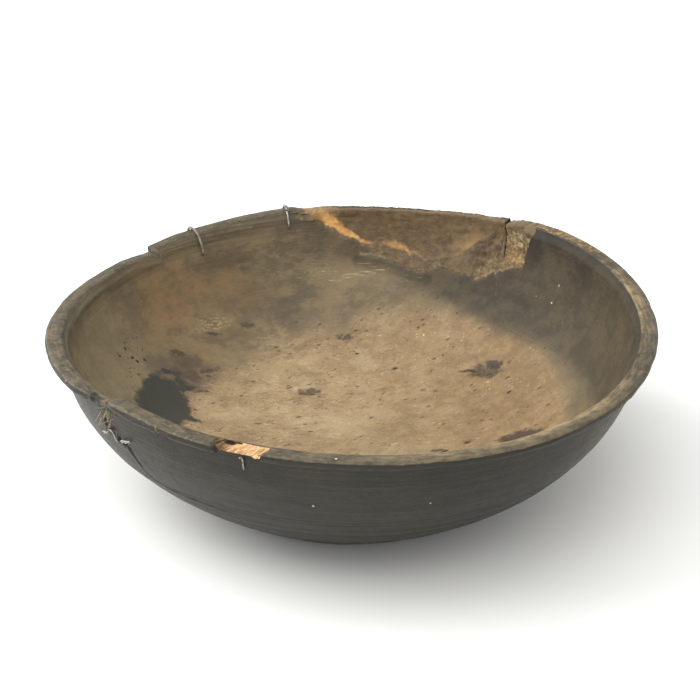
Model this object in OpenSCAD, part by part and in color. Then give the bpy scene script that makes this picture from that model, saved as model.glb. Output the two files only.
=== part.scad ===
// Cracked bowl: an old turned wooden bowl, warped, split and mended with wire.
// +Z is up. The origin is the middle of the flat foot's underside.
// Angles run anticlockwise from +X, seen from above.

/* [Bowl] */
// Outer radius of the rim, as first turned
rim_r = 170; // [130:1:230]
// Height of the rim above the foot, as first turned
bowl_h = 99; // [75:1:135]
// Radius of the flat foot
foot_r = 86; // [60:1:105]
// Width of the rim bead
bead_w = 9.2; // [7.5:0.1:12]
// Height of the rim bead
bead_h = 5; // [3.5:0.1:7]
// How far the groove under the bead lies inside the rim's outer radius
groove_in = 7.4; // [5:0.1:9]
// Thickness of the wall just under the bead
wall_t = 5.2; // [4.5:0.1:8]
// Thickness of the floor in the middle
floor_t = 12; // [8:0.5:18]

/* [Warp] */
// Rise and fall of the rim, left as the wood dried
saddle = 5; // [0:0.5:8]
// Direction of one of the rim's two high sides
saddle_dir = 51; // [30:1:70]
// Share by which the rim is longer along its high sides
oval = 0.009; // [0:0.001:0.02]
// Rise of the rim on the +X side
lean_x = 2.5; // [-4:0.5:4]
// Rise of the rim on the +Y side
lean_y = 1; // [-4:0.5:4]

/* [Breaks] */
// Angle of the rear right crack
rear_crack = 53; // [51:0.5:56]
// Angle of the step where the rear left strip of rim has sprung out
strip_step = 139.5; // [136:0.5:143]
// How far the sprung strip stands out
strip_out = 2; // [0:0.1:3]
// How far the sprung strip stands up
strip_up = 2; // [0:0.1:3]
// Angle of the front left crack
front_crack = 222; // [219:0.5:224]
// How far the rim stands up on the right of the front left crack
front_step = 2; // [0:0.1:3]
// Width of the open cracks
crack_w = 0.7; // [0.5:0.1:1.5]
// Wood left on the outside where the inner face has split off
spall_left = 3; // [2.5:0.1:4]
// Middle angle of the chip in the front of the bead
chip_dir = 251.5; // [250:0.5:253]
// How far the chip reaches in from the rim
chip_in = 5.5; // [3:0.1:6]

/* [Wire] */
// Diameter of the rear left stitch
left_wire_d = 1.7; // [1.2:0.1:2.2]
// Angle of the rear left stitch
left_wire_dir = 128.2; // [124:0.1:132]
// Depth of its hole below the rim
left_wire_drop = 12; // [10:0.5:16]
// Diameter of the rear middle stitch
middle_wire_d = 1.3; // [1:0.1:1.8]
// Angle of the rear middle stitch
middle_wire_dir = 105.5; // [104:0.1:109]
// Depth of its hole below the rim
middle_wire_drop = 9; // [8:0.5:14]
// Diameter of the front stub
stub_d = 1.1; // [0.9:0.1:1.5]
// Depth of the stub's hole below the rim
stub_drop = 15; // [13:0.5:18]
// Diameter of the two crack stitches
sew_d = 1.3; // [1:0.1:1.6]
// Gap between a wire and the wood that it lies on
wire_gap = 0.45; // [0.4:0.05:0.6]

/* [Hidden] */
$fn = 32;
column_step = 3.4;      // widest angle between two columns of the bowl's surface
step_half = 0.07;       // half the angle that a step in the rim takes up
wire_sides = 8;
hole_slack = 5;         // how many gaps wider than its wire a drilled hole is
over = 4;               // how far a cutter runs past the wood
rim_depth = 16;         // how far below the rim the sprung strip and its sag reach
crack_depth = 40;       // how far below the rim the rise and fall beside a crack reach
rim_sag = 1.8;          // how far the rim hangs where the strip has left it
rear_fall = 1.2;        // how far the rim hangs on the right of the rear crack
split_depth = 1.2;      // how deep the closed end of the front crack runs into the wall
wood = [0.33, 0.27, 0.20];
wire = [0.62, 0.60, 0.56];

// ---- the section as turned: points are [radius, height] ----
neck_r = rim_r - groove_in;
neck_z = bowl_h - bead_h;
bead_in = rim_r - bead_w;
outer_ctrl = [[foot_r, 0], [foot_r + 23.5, 0.172 * neck_z],
              [neck_r - 3.4, 0.475 * neck_z], [neck_r, neck_z]];
inner_ctrl = [[neck_r - wall_t, neck_z], [neck_r - 3 * wall_t, 0.425 * neck_z],
              [foot_r + 34, floor_t + 2], [0, floor_t]];
function bezier(c, t) = pow(1 - t, 3) * c[0] + 3 * t * pow(1 - t, 2) * c[1]
                      + 3 * t * t * (1 - t) * c[2] + pow(t, 3) * c[3];
outer_wall = [for (i = [0:13]) bezier(outer_ctrl, i / 13)];
inner_wall = [for (i = [0:12]) bezier(inner_ctrl, i / 13)];
bead = concat([for (a = [-90:30:90])
                   [rim_r - bead_h / 2 * (1 - cos(a)), bowl_h - bead_h / 2 * (1 - sin(a))]],
              [[bead_in + 2, bowl_h], [bead_in, bowl_h - 0.5], [bead_in - 0.9, bowl_h - 2]]);
section = concat(outer_wall, bead, inner_wall);
outer_table = [for (p = outer_wall) [p[1], p[0]]];
inner_table = [for (p = inner_wall) [p[1], p[0]]];
function outside(z) = lookup(z, outer_table);
function inside(z) = lookup(z, inner_table);

// ---- how the wood has moved since it was turned ----
function ease(x) = x <= 0 ? 0 : x >= 1 ? 1 : x * x * (3 - 2 * x);
function near_rim(z, depth) = ease((z - bowl_h + depth) / (depth - 4));
// the sprung strip runs from the step to just past the middle stitch; the rim sags where it has left it
strip_root = middle_wire_dir - 5;
function strip(a) = a > strip_step ? 0
                  : ease((a - strip_root) / 4) * (1 - 0.3 * ease((a - strip_step + 7) / 7));
function sag(a) = a < strip_step ? 0 : -rim_sag * (1 - ease((a - strip_step) / 10));
function front_rise(a) = a < front_crack ? 0 : front_step * (1 - ease((a - front_crack) / 22));
function rear_drop(a) = a > rear_crack ? 0 : -rear_fall * ease((a - rear_crack + 14) / 14);
function lift(a, z) =
    max(0, z / bowl_h) * (saddle * cos(2 * (a - saddle_dir)) + lean_x * cos(a) + lean_y * sin(a))
    + near_rim(z, crack_depth) * (front_rise(a) + rear_drop(a))
    + near_rim(z, rim_depth) * (strip_up * strip(a) + sag(a));
function place(r, angle, z) =
    let (a = angle > 360 ? angle - 360 : angle,
         rr = r * (1 + oval * cos(2 * (a - saddle_dir))) + strip_out * strip(a) * near_rim(z, rim_depth))
    [rr * cos(a), rr * sin(a), z + lift(a, z)];

// ---- the bowl's skin: a column of section points at each angle ----
function columns_between(from, to) = let (n = ceil((to - from) / column_step))
    [for (i = [0:n]) from + step_half + (to - from - 2 * step_half) * i / n];
columns = concat(columns_between(rear_crack, strip_step), columns_between(strip_step, front_crack),
                 columns_between(front_crack, rear_crack + 360));

module turned_and_warped() {
    m = len(section);
    n = len(columns);
    points = concat([for (a = columns) for (p = section) place(p[0], a, p[1])], [[0, 0, floor_t]]);
    walls = [for (i = [0:n - 1]) for (j = [0:m - 2])
                let (a = i * m + j, b = (i + 1) % n * m + j)
                for (f = [[a, a + 1, b + 1], [a, b + 1, b]]) f];
    floor_fan = [for (i = [1:n]) [i * m - 1, n * m, (i % n + 1) * m - 1]];
    foot = [for (i = [0:n - 1]) i * m];
    polyhedron(points, concat(walls, floor_fan, [foot]));
}

// a solid through a row of rings with as many points each; closed joins the last ring to the first
module sweep(rings, closed = false) {
    n = len(rings);
    m = len(rings[0]);
    points = [for (ring = rings) for (p = ring) p];
    last = closed ? n - 1 : n - 2;
    sides = [for (i = [0:last]) for (j = [0:m - 1])
                let (k = (j + 1) % m, a = i * m, b = (i + 1) % n * m)
                for (f = [[a + j, a + k, b + k], [a + j, b + k, b + j]]) f];
    end = (n - 1) * m;
    caps = closed ? [] : [for (j = [0:m - 3])
                             for (f = [[m - 1, j + 1, j], [end + m - 1, end + j, end + j + 1]]) f];
    polyhedron(points, concat(sides, caps));
}

// ---- what has broken away ----
// the rear break, as [angle, its lower edge and its upper edge below the rim, share of the bead left]
break_edge = [[43.8, 3, -1, 1.1], [44.4, 15, -1, 1.1], [45, 24, 0, 1],
              [47.8, 27, 0.6, 0.9], [50.3, 29, 1.2, 0.6], [53, 34, 2.2, 0.3],
              [56, 38, 2.8, 0.1], [62, 35.5, 3, 0.1], [67, 34.5, 3.5, 0.1],
              [70, 37, 3.7, 0.1], [72.5, 38.5, 3.7, 0.1], [78, 33.5, 3, 0.1],
              [83, 28, 2.2, 0.1], [86, 24, 1.7, 0.15], [91, 18, 0.9, 0.3],
              [95, 11, 0.3, 0.6], [98.5, 6, -0.3, 1], [101.5, 1, -1, 1.1]];
top = bowl_h + over;
function split_face(z) = outside(min(z, neck_z)) - spall_left;
module inner_face_gone() sweep([for (e = break_edge)
    let (low = bowl_h - e[1],
         up = bowl_h - e[2],
         heights = [low, (low + neck_z) / 2, neck_z - 4, neck_z],
         r = neck_r - spall_left + groove_in * min(1, e[3]))
    concat([place(inside(low) - over, e[0], low + 1)],
           [for (i = [0:3]) let (z = max(low + 0.2 * i, heights[i])) place(split_face(z), e[0], z)],
           [place(r, e[0], max(low + 1, up)), place(r, e[0], top), place(bead_in - 4 * over, e[0], top)])]);
module rim_gone() sweep([for (e = break_edge)
    let (up = bowl_h - e[2])
    [place(bead_in - 3 * over, e[0], up), place(rim_r + over, e[0], up),
     place(rim_r + over, e[0], top + 1), place(bead_in - 3 * over, e[0], top + 1)]]);
module bead_gone() sweep([for (e = break_edge)
    let (r = neck_r + 0.8 + (groove_in + 1) * e[3],
         low = neck_z - 0.6)
    [place(r, e[0], low), place(rim_r + 2 * over, e[0], low),
     place(rim_r + 2 * over, e[0], top + 2), place(r, e[0], top + 2)]]);

// an open crack along [angle, height below the rim, share of the full width], deep or through the wall
module crack(path, depth) {
    sweep([for (p = path)
        let (z = bowl_h - p[1],
             half = crack_w * p[2] / 2 / rim_r * 180 / PI,
             outer = (z > neck_z - 1 ? rim_r : outside(z)) + over,
             inner = depth > wall_t ? inside(z) - 2 * over : outside(z) - depth)
        [place(inner, p[0] - half, z), place(inner, p[0] + half, z),
         place(outer, p[0] + half, z), place(outer, p[0] - half, z)]]);
}
front_crack_path = [[front_crack, -over, 1], [front_crack, 8, 1], [front_crack + 0.4, 15, 0.9],
                    [front_crack + 1.2, 24, 0.7], [front_crack + 1.6, 34, 0.4]];
front_split_path = [[front_crack + 1.8, 35, 0.8], [front_crack + 3, 43, 0.7], [front_crack + 6, 50, 0.7],
                    [front_crack + 12, 51.5, 0.6], [front_crack + 20, 52, 0.5],
                    [front_crack + 25, 53.5, 0.3]];
rear_crack_path = [[rear_crack, -over, 1], [rear_crack, 7, 1],
                   [rear_crack - 0.5, 16, 0.8], [rear_crack - 1.2, 26, 0.4]];

// the chip in the bead, as [angle from its middle, depth in, depth down]
chip_cuts = [[-6, 0.05, 0.2], [-4.6, 0.75, 0.7], [-2.8, 1, 0.9], [0, 0.7, 1.2],
             [2.2, 0.9, 1.2], [4, 0.55, 1.3], [5.4, 0.05, 0.8]];
module chip() {
    sweep([for (c = chip_cuts)
        let (a = chip_dir + c[0],
             r = rim_r - chip_in * c[1],
             z = bowl_h - bead_h * c[2])
        [place(r + 1, a, z), place(rim_r + over, a, z - 1.5),
         place(rim_r + over, a, top), place(r - 1, a, top)]]);
}

// a drilled hole through the wall for one wire
module wire_hole(angle, drop, d) {
    z = bowl_h - drop;
    translate(place(inside(z) - over, angle, z)) rotate([0, 90, angle])
        cylinder(d = d + hole_slack * wire_gap, h = outside(z) - inside(z) + 3 * over);
}

module bowl() {
    color(wood) difference() {
        turned_and_warped();
        inner_face_gone();
        rim_gone();
        bead_gone();
        crack(front_crack_path, 2 * wall_t);
        crack(front_split_path, split_depth);
        crack(rear_crack_path, 2 * wall_t);
        chip();
        wire_hole(left_wire_dir, left_wire_drop, left_wire_d);
        wire_hole(middle_wire_dir, middle_wire_drop, middle_wire_d);
        wire_hole(chip_dir + 0.4, stub_drop, stub_d);
    }
}

// ---- the wire repairs ----
function unit(v) = v / norm(v);
function smooth(p, q, r, s, t) = 0.5 * ((2 * q) + (r - p) * t + (2 * p - 5 * q + 4 * r - s) * t * t
                                        + (3 * q - p - 3 * r + s) * t * t * t);
// a smooth route through the points; steps is the number of pieces to each stretch
function route(pts, steps, closed) = let (n = len(pts), last = closed ? n - 1 : n - 2)
    concat([for (i = [0:last]) for (k = [0:steps - 1])
        smooth(pts[closed ? (i + n - 1) % n : max(i - 1, 0)], pts[i], pts[(i + 1) % n],
               pts[closed ? (i + 2) % n : min(i + 2, n - 1)], k / steps)], closed ? [] : [pts[n - 1]]);
// wire of diameter d along a route that lies in the plane across side
module wire_along(pts, d, side, closed = false) {
    n = len(pts);
    color(wire) sweep([for (i = [0:n - 1])
        let (before = pts[closed ? (i + n - 1) % n : max(i - 1, 0)],
             after = pts[closed ? (i + 1) % n : min(i + 1, n - 1)],
             across = cross(side, unit(after - before)))
        [for (k = [0:wire_sides - 1])
            let (turn = 360 * k / wire_sides)
            pts[i] + d / 2 * (cos(turn) * side + sin(turn) * across)]], closed);
}
function sideways(a) = [-sin(a), cos(a), 0];

// a loop over the rim and through its hole
module rim_stitch(angle, drop, d) {
    w = d / 2 + wire_gap;
    z = bowl_h - drop;
    loop = [[outside(z) + w, z + 1], [neck_r + w, neck_z - w - 1.5],
            [rim_r - 0.5, neck_z - w - 0.3], [rim_r + w, bowl_h - bead_h / 2],
            [rim_r - 0.6, bowl_h + w + 0.1], [rim_r - bead_w / 2, bowl_h + w + 0.3],
            [bead_in - 0.4, bowl_h + w * 0.6], [bead_in - 2.2 - w, bowl_h - 2.5],
            [inside(neck_z) - w - 0.6, neck_z - 1], [inside(z) - w - 0.4, z + 2],
            [inside(z) - w * 0.6, z + 0.1], [inside(z) + 1, z], [outside(z) - 0.6, z]];
    wire_along(route([for (p = loop) place(p[0], angle, p[1])], 2, true), d, sideways(angle), true);
}
module rear_left_stitch() rim_stitch(left_wire_dir, left_wire_drop, left_wire_d);
module rear_middle_stitch() rim_stitch(middle_wire_dir, middle_wire_drop, middle_wire_d);

// what is left of a third loop: a hook that comes out of its hole and ends at the chip
module front_stitch_stub() {
    w = stub_d / 2 + wire_gap;
    z = bowl_h - stub_drop;
    a = chip_dir + 0.4;
    hook = [[inside(z) + 1, z], [outside(z) - 0.3, z], [outside(z) + w, z + 1], [outside(z + 6) + w, z + 6],
            [neck_r + w, neck_z - 2.8], [neck_r + w + 1.4, neck_z - w - 0.3], [neck_r + w + 3, neck_z - w]];
    wire_along(route([for (p = hook) place(p[0], a, p[1])], 2, false), stub_d, sideways(a));
}

// a short stitch that lies on the outside of the wall across the front crack
module crack_stitch(from, to) {
    w = sew_d / 2 + wire_gap;
    // how far along it each point lies, and how far it stands off the wall there
    bow = [[0, -0.1], [0.12, 0.3], [0.5, 0.5], [0.88, 0.3], [1, -0.1]];
    pts = [for (s = bow)
        let (a = from[0] + (to[0] - from[0]) * s[0],
             z = bowl_h - from[1] - (to[1] - from[1]) * s[0])
        place(outside(z) + w + s[1], a, z)];
    along = pts[4] - pts[0];
    wire_along(route(pts, 2, false), sew_d, unit(cross(along, [cos(from[0]), sin(from[0]), 0])));
}
module crack_stitch_upper() crack_stitch([front_crack - 3.8, 24.4], [front_crack - 0.2, 21.4]);
module crack_stitch_lower() crack_stitch([front_crack + 2.2, 24.6], [front_crack + 5, 22.2]);

bowl();
rear_left_stitch();
rear_middle_stitch();
front_stitch_stub();
crack_stitch_upper();
crack_stitch_lower();
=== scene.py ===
# %% [markdown]
# # A cracked wooden bowl
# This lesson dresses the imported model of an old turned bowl: a dark, worn, warped bowl of one piece
# of wood, split at the rim, with its rear inner face broken away and old wire stitches left in it.
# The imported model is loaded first, as a fixed frame. Every new piece is made in that same frame, in
# metres, so nothing has to be fitted afterwards.

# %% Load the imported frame
import math
import bmesh
import bpy
import numpy as np
from mathutils import Matrix, Vector


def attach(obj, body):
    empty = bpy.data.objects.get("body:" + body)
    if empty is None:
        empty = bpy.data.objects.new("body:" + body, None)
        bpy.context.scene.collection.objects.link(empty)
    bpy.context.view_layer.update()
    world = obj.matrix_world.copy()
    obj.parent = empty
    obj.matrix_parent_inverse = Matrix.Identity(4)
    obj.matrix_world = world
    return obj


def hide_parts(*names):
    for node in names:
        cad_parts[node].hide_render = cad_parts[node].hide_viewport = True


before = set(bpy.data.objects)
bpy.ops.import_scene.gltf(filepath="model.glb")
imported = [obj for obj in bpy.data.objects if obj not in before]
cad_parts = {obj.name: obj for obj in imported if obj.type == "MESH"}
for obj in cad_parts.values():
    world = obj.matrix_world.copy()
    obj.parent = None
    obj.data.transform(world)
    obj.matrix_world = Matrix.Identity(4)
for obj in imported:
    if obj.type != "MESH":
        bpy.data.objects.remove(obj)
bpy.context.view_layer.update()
mm = 0.001
print("nodes:", sorted(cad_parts))

# %% [markdown]
# ## Camera
# The bowl is looked at from the front and a little above, so that both the dark outside and the
# whole inside show. A long lens keeps the round rim from stretching. The camera's own three axes
# are worked out from its elevation, and then rolled by a hair.

# %% Camera
elevation = math.radians(25.8)
roll = math.radians(0.4)
aim = Vector((-0.0013, 0, 0.0747))
distance = 0.862
field_of_view = math.radians(26)

back = Vector((0, -math.cos(elevation), math.sin(elevation)))
up = Vector((0, math.sin(elevation), math.cos(elevation)))
right = Vector((1, 0, 0))
camera_right = right * math.cos(roll) + up * math.sin(roll)
camera_up = up * math.cos(roll) - right * math.sin(roll)
camera_data = bpy.data.cameras.new("camera")
camera_data.sensor_width = 36
camera_data.angle = field_of_view
camera_data.clip_end = 50
camera = bpy.data.objects.new("camera", camera_data)
camera.matrix_world = Matrix.Translation(aim + back * distance) @ Matrix(
    (camera_right, camera_up, back)).transposed().to_4x4()
bpy.context.scene.collection.objects.link(camera)
bpy.context.scene.camera = camera
print("camera at", tuple(round(x, 3) for x in camera.location))

# %% [markdown]
# ## Floor and light
# A product is usually shown on a seamless white sheet. A big flat disc is enough here, because the
# camera looks down on it and never sees its edge. The world is a soft white dome, and one large
# lamp high on the left adds direction, so that the shadow falls to the right of the bowl.

# %% Floor, world and lamps
def new_object(name, mesh):
    made = bpy.data.objects.new(name, mesh)
    bpy.context.scene.collection.objects.link(made)
    return made


def mesh_from(bm, name):
    mesh = bpy.data.meshes.new(name)
    bm.to_mesh(mesh)
    bm.free()
    return mesh


def set_inputs(node, **values):
    for name, value in values.items():
        node.inputs[name.replace("_", " ")].default_value = value


floor_bm = bmesh.new()
bmesh.ops.create_circle(floor_bm, cap_ends=True, segments=64, radius=6)
floor = new_object("floor", mesh_from(floor_bm, "floor"))
paper = bpy.data.materials.new("white_paper")
paper.use_nodes = True
set_inputs(paper.node_tree.nodes["Principled BSDF"], Base_Color=(0.88, 0.878, 0.85, 1), Roughness=0.9,
           Specular_IOR_Level=0.1)
floor.data.materials.append(paper)

world = bpy.data.worlds.new("soft_white_room")
world.use_nodes = True
world.node_tree.nodes["Background"].inputs["Color"].default_value = (1, 1, 1, 1)
world.node_tree.nodes["Background"].inputs["Strength"].default_value = 0.9
bpy.context.scene.world = world
bpy.context.scene.view_settings.view_transform = "Standard"


def lamp(name, place, target, size, power):
    data = bpy.data.lights.new(name, "AREA")
    data.size = size
    data.energy = power
    made = bpy.data.objects.new(name, data)
    made.location = place
    made.rotation_euler = (Vector(place) - Vector(target)).to_track_quat("Z", "Y").to_euler()
    bpy.context.scene.collection.objects.link(made)


lamp("window_left", (-1.75, 0.2, 1.45), (0, 0, 0.05), 2.0, 52)
lamp("overhead", (-0.2, -0.8, 1.9), (0, 0, 0.05), 1.6, 20)
print("floor and two lamps are in")

# %% [markdown]
# ## The bowl's section
# A turned bowl is one outline spun round. The outline here has four stretches: the inner wall, the
# bead round the rim, the outer wall with its turned grooves, and the flat foot. The two walls are
# smooth curves through four handles each, the same ones as in the solid model, so the skin made
# here lies where the solid model says.

# %% Sizes of the bowl as it was turned
rim_r = 170 * mm
bowl_h = 99 * mm
foot_r = 86 * mm
bead_w = 9.2 * mm
bead_h = 5 * mm
groove_in = 7.4 * mm
wall_t = 5.2 * mm
floor_t = 12 * mm
neck_r = rim_r - groove_in
neck_z = bowl_h - bead_h
bead_in = rim_r - bead_w
outer_handles = [(foot_r, 0), (foot_r + 23.5 * mm, 0.172 * neck_z), (neck_r - 3.4 * mm, 0.475 * neck_z),
                 (neck_r, neck_z)]
inner_handles = [(neck_r - wall_t, neck_z), (neck_r - 3 * wall_t, 0.425 * neck_z),
                 (foot_r + 34 * mm, floor_t + 2 * mm), (0, floor_t)]


def curve_points(handles, count):
    t = np.linspace(0, 1, count)[:, None]
    a, b, c, d = (np.array(h, float) for h in handles)
    return (1 - t) ** 3 * a + 3 * t * (1 - t) ** 2 * b + 3 * t * t * (1 - t) * c + t ** 3 * d


outer_wall = curve_points(outer_handles, 400)
inner_wall = curve_points(inner_handles, 400)


def outside_radius(z):
    return np.interp(z, outer_wall[:, 1], outer_wall[:, 0])


def inside_radius(z):
    return np.interp(z, inner_wall[::-1, 1], inner_wall[::-1, 0])


print("wall near the rim:", round(float(outside_radius(0.09) - inside_radius(0.09)) * 1000, 1), "mm")

# %% [markdown]
# The turner left fine grooves on the outside, in two bands. Each is a real dip in the outline,
# 0.4 mm deep, so that light catches its edge. Points are set close together where the break and the
# grooves need them, and far apart on the plain foot.

# %% The outline, from the middle of the inside round to the middle of the foot
groove_heights = [52, 49.4, 43, 41.2, 35.5, 33.8, 30, 24.5, 21.8, 18]
groove_depth = 0.42 * mm

upper_heights = np.arange(neck_z - 0.9 * mm, 55 * mm, -0.95 * mm)
inner_low = inner_wall[inner_wall[:, 1] < 55 * mm]
steps_down = np.linspace(0, 1, 31) ** 0.9 * (len(inner_low) - 1)
outline = [inner_low[int(i)] for i in steps_down][::-1]
outline += [(inside_radius(z), z) for z in upper_heights[::-1]]
outline += [(neck_r - wall_t, neck_z), (neck_r - wall_t + 1 * mm, neck_z + 1.4 * mm),
            (bead_in - 0.9 * mm, bowl_h - 2 * mm), (bead_in - 0.5 * mm, bowl_h - 1.1 * mm),
            (bead_in, bowl_h - 0.5 * mm), (bead_in + 0.9 * mm, bowl_h - 0.15 * mm)]
outline += [(bead_in + x * mm, bowl_h) for x in (2, 3.2, 4.4, 5.5)]
outline += [(rim_r - bead_h / 2 * (1 - math.cos(a)), bowl_h - bead_h / 2 * (1 - math.sin(a)))
            for a in np.radians(np.arange(90, -91, -15))]
outline += [(rim_r - 3.6 * mm, neck_z - 0.1 * mm), (neck_r + 2.2 * mm, neck_z - 0.1 * mm),
            (neck_r + 1 * mm, neck_z - 0.3 * mm), (neck_r + 0.3 * mm, neck_z - 0.9 * mm)]
outer_heights = np.concatenate([np.arange(92.4, 86, -2.6), np.arange(84.9, 71, -1.3),
        np.arange(70.2, 54, -2.6), np.arange(53.6, 16, -0.9), [14, 11, 8, 5, 2.5, 1, 0.3]])
for z in outer_heights * mm:
    near = min(abs(z - g * mm) for g in groove_heights)
    outline.append((outside_radius(z) - groove_depth * max(0, 1 - near / (0.8 * mm)), z))
outline += [(foot_r - 0.6 * mm, 0), (foot_r - 4 * mm, 0), (foot_r * 0.6, 0), (foot_r * 0.25, 0), (0, 0)]
outline[0] = (0, floor_t)
print(len(outline), "points in the outline")

# %% [markdown]
# ## Spinning the outline
# The spin goes round in sectors. Most of the bowl needs a column of points every degree, but the
# cracks, the rear break and the chip need them much closer. The full turn ends on the first
# column, so doubles are merged, which also closes the two poles.

# %% Spin
rear_crack = 53
strip_step = 139.5
chip_dir = 252
# first angle, last angle and step, all in degrees
sectors = [(0, 43, 1.1), (43, 47, 0.25), (47, 51.6, 0.35), (51.6, 54, 0.12), (54, 103, 0.36),
    (103, 107, 0.5), (107, 127, 1.25), (127, 129.5, 0.6), (129.5, 138.6, 1.3), (138.6, 139.4, 0.2),
    (139.4, 139.6, 0.05), (139.6, 140.4, 0.2), (140.4, 213, 1.3), (213, 218.4, 0.6), (218.4, 227.4, 0.2),
    (227.4, 236, 0.8), (236, 240, 0.25), (240, 246.4, 0.8), (246.4, 257.4, 0.16), (257.4, 360, 1.2)]

bowl_bm = bmesh.new()
corners = [bowl_bm.verts.new((r, 0, z)) for r, z in outline]
column = corners + [bowl_bm.edges.new(pair) for pair in zip(corners, corners[1:])]
for start, end, step in sectors:
    turned = bmesh.ops.spin(bowl_bm, geom=column, cent=(0, 0, 0), axis=(0, 0, 1),
        angle=math.radians(end - start), steps=round((end - start) / step), use_merge=False)
    column = turned["geom_last"]
bmesh.ops.remove_doubles(bowl_bm, verts=bowl_bm.verts, dist=0.002 * mm)
bmesh.ops.recalc_face_normals(bowl_bm, faces=bowl_bm.faces)
for face in bowl_bm.faces:
    face.smooth = True
print("open edges:", sum(not edge.is_manifold for edge in bowl_bm.edges))
bowl_mesh = mesh_from(bowl_bm, "bowl_wood")
print(len(bowl_mesh.vertices), "points,", len(bowl_mesh.polygons), "faces")

# %% [markdown]
# ## How the wood moved
# Every point now knows its angle, its radius and its height as turned. The next cells move the
# points the way the wood itself moved: first what has broken away, then the warp of the drying
# wood. Working on whole columns of numbers at once is quick and keeps each rule to a line or two.

# %% Rules for moving wood
def ease(x):
    x = np.clip(x, 0, 1)
    return x * x * (3 - 2 * x)


def bump(x, middle, half):
    return ease(1 - np.abs(x - middle) / half)


def ripple(x, seed):
    # smooth hills and dips of about one unit of x, from -1 to 1, the same at every run
    heights = np.random.default_rng(seed).uniform(-1, 1, 4096)
    low = np.floor(x).astype(int)
    share = ease(x - low)
    return heights[low % 4096] * (1 - share) + heights[(low + 1) % 4096] * share


def ripple_2d(x, y, seed):
    heights = np.random.default_rng(seed).uniform(-1, 1, (512, 512))
    lx, ly = np.floor(x).astype(int), np.floor(y).astype(int)
    sx, sy = ease(x - lx), ease(y - ly)
    low = heights[lx % 512, ly % 512] * (1 - sx) + heights[(lx + 1) % 512, ly % 512] * sx
    high = heights[lx % 512, (ly + 1) % 512] * (1 - sx) + heights[(lx + 1) % 512, (ly + 1) % 512] * sx
    return low * (1 - sy) + high * sy


def jagged(x, seed):
    return 0.6 * ripple(x, seed) + 0.3 * ripple(2.7 * x, seed + 1) + 0.2 * ripple(7.3 * x, seed + 2)


points = np.zeros(len(bowl_mesh.vertices) * 3)
bowl_mesh.vertices.foreach_get("co", points)
points = points.reshape(-1, 3)
angle = np.degrees(np.arctan2(points[:, 1], points[:, 0])) % 360
radius = np.hypot(points[:, 0], points[:, 1])
height = points[:, 2].copy()
turned_height = height.copy()
turned_radius = radius.copy()
on_inside = radius < (inside_radius(height) + outside_radius(height)) / 2
on_bead = height > neck_z - 0.15 * mm
on_inside &= ~on_bead
on_outside = ~on_inside & ~on_bead
drop = (bowl_h - turned_height) / mm

# how far round the bead's section a point lies, from 0 inside, over the top and the nose, to 1 underneath
bead_path = np.array([p for p in outline if p[1] > neck_z - 0.15 * mm])
bead_reach = np.append(0, np.cumsum(np.hypot(*np.diff(bead_path, axis=0).T)))
nearest = np.hypot(turned_radius[on_bead, None] - bead_path[:, 0],
                   turned_height[on_bead, None] - bead_path[:, 1]).argmin(1)
round_bead = np.zeros(len(points))
round_bead[on_bead] = (bead_reach / bead_reach[-1])[nearest]
print("points inside, on the bead, outside:", on_inside.sum(), on_bead.sum(), on_outside.sum())

# %% [markdown]
# ## The rear break
# The inner face of the rear wall has split off along the grain and taken most of the bead with it.
# What is left is a thin outer skin with a flat, fibrous split face. Below it a ragged ledge leads
# back to the old surface. Each rule of the break is given at a few angles round the bowl and
# filled in smoothly between them. The ledge slopes gently where the wood tore and drops sharply
# where it snapped.

# %% The rear break
# angle, how far below the rim its lower and its upper edge lie, share of the bead left, height of the slope
break_edge = [(43.8, 3, -1, 1.1, 1.2), (44.4, 15, -1, 1.1, 9), (45, 24, 0, 1, 20), (47.8, 27, 0.6, 0.9, 24),
    (50.3, 29, 1.2, 0.6, 27), (53, 34, 2.2, 0.3, 30), (56, 38, 2.8, 0.1, 25), (62, 35.5, 3, 0.1, 10),
    (67, 34.5, 3.5, 0.1, 4), (70, 37, 3.7, 0.1, 6), (72.5, 38.5, 3.7, 0.1, 8.5), (78, 33.5, 3, 0.1, 7),
    (83, 28, 2.2, 0.1, 5), (86, 24, 1.7, 0.15, 1.8), (91, 18, 0.9, 0.3, 1.4), (95, 11, 0.3, 0.6, 1.5),
    (98.5, 6, -0.3, 1, 2), (101.5, 1, -1, 1.1, 1)]
edge_angle, edge_low, edge_up, bead_share, ledge_slope = np.array(break_edge).T
split_skin = 3 * mm

ragged = angle - 1.0 - 0.7 * jagged(height / (4 * mm), 12) * (angle < 49)
in_break = (ragged > edge_angle[0]) & (angle < edge_angle[-1])
along_edge = ease((ragged - 44.5) / 1.5) * ease((101 - angle) / 4)
low = bowl_h - np.interp(ragged, edge_angle, edge_low) * mm + along_edge * jagged(angle / 1.1, 11) * 1.6 * mm
upper = bowl_h - np.interp(angle, edge_angle, edge_up) * mm + along_edge * jagged(angle / 0.9, 21) * 0.35 * mm
share = np.interp(ragged, edge_angle, bead_share)
slope = np.interp(ragged, edge_angle, ledge_slope) * mm

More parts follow.
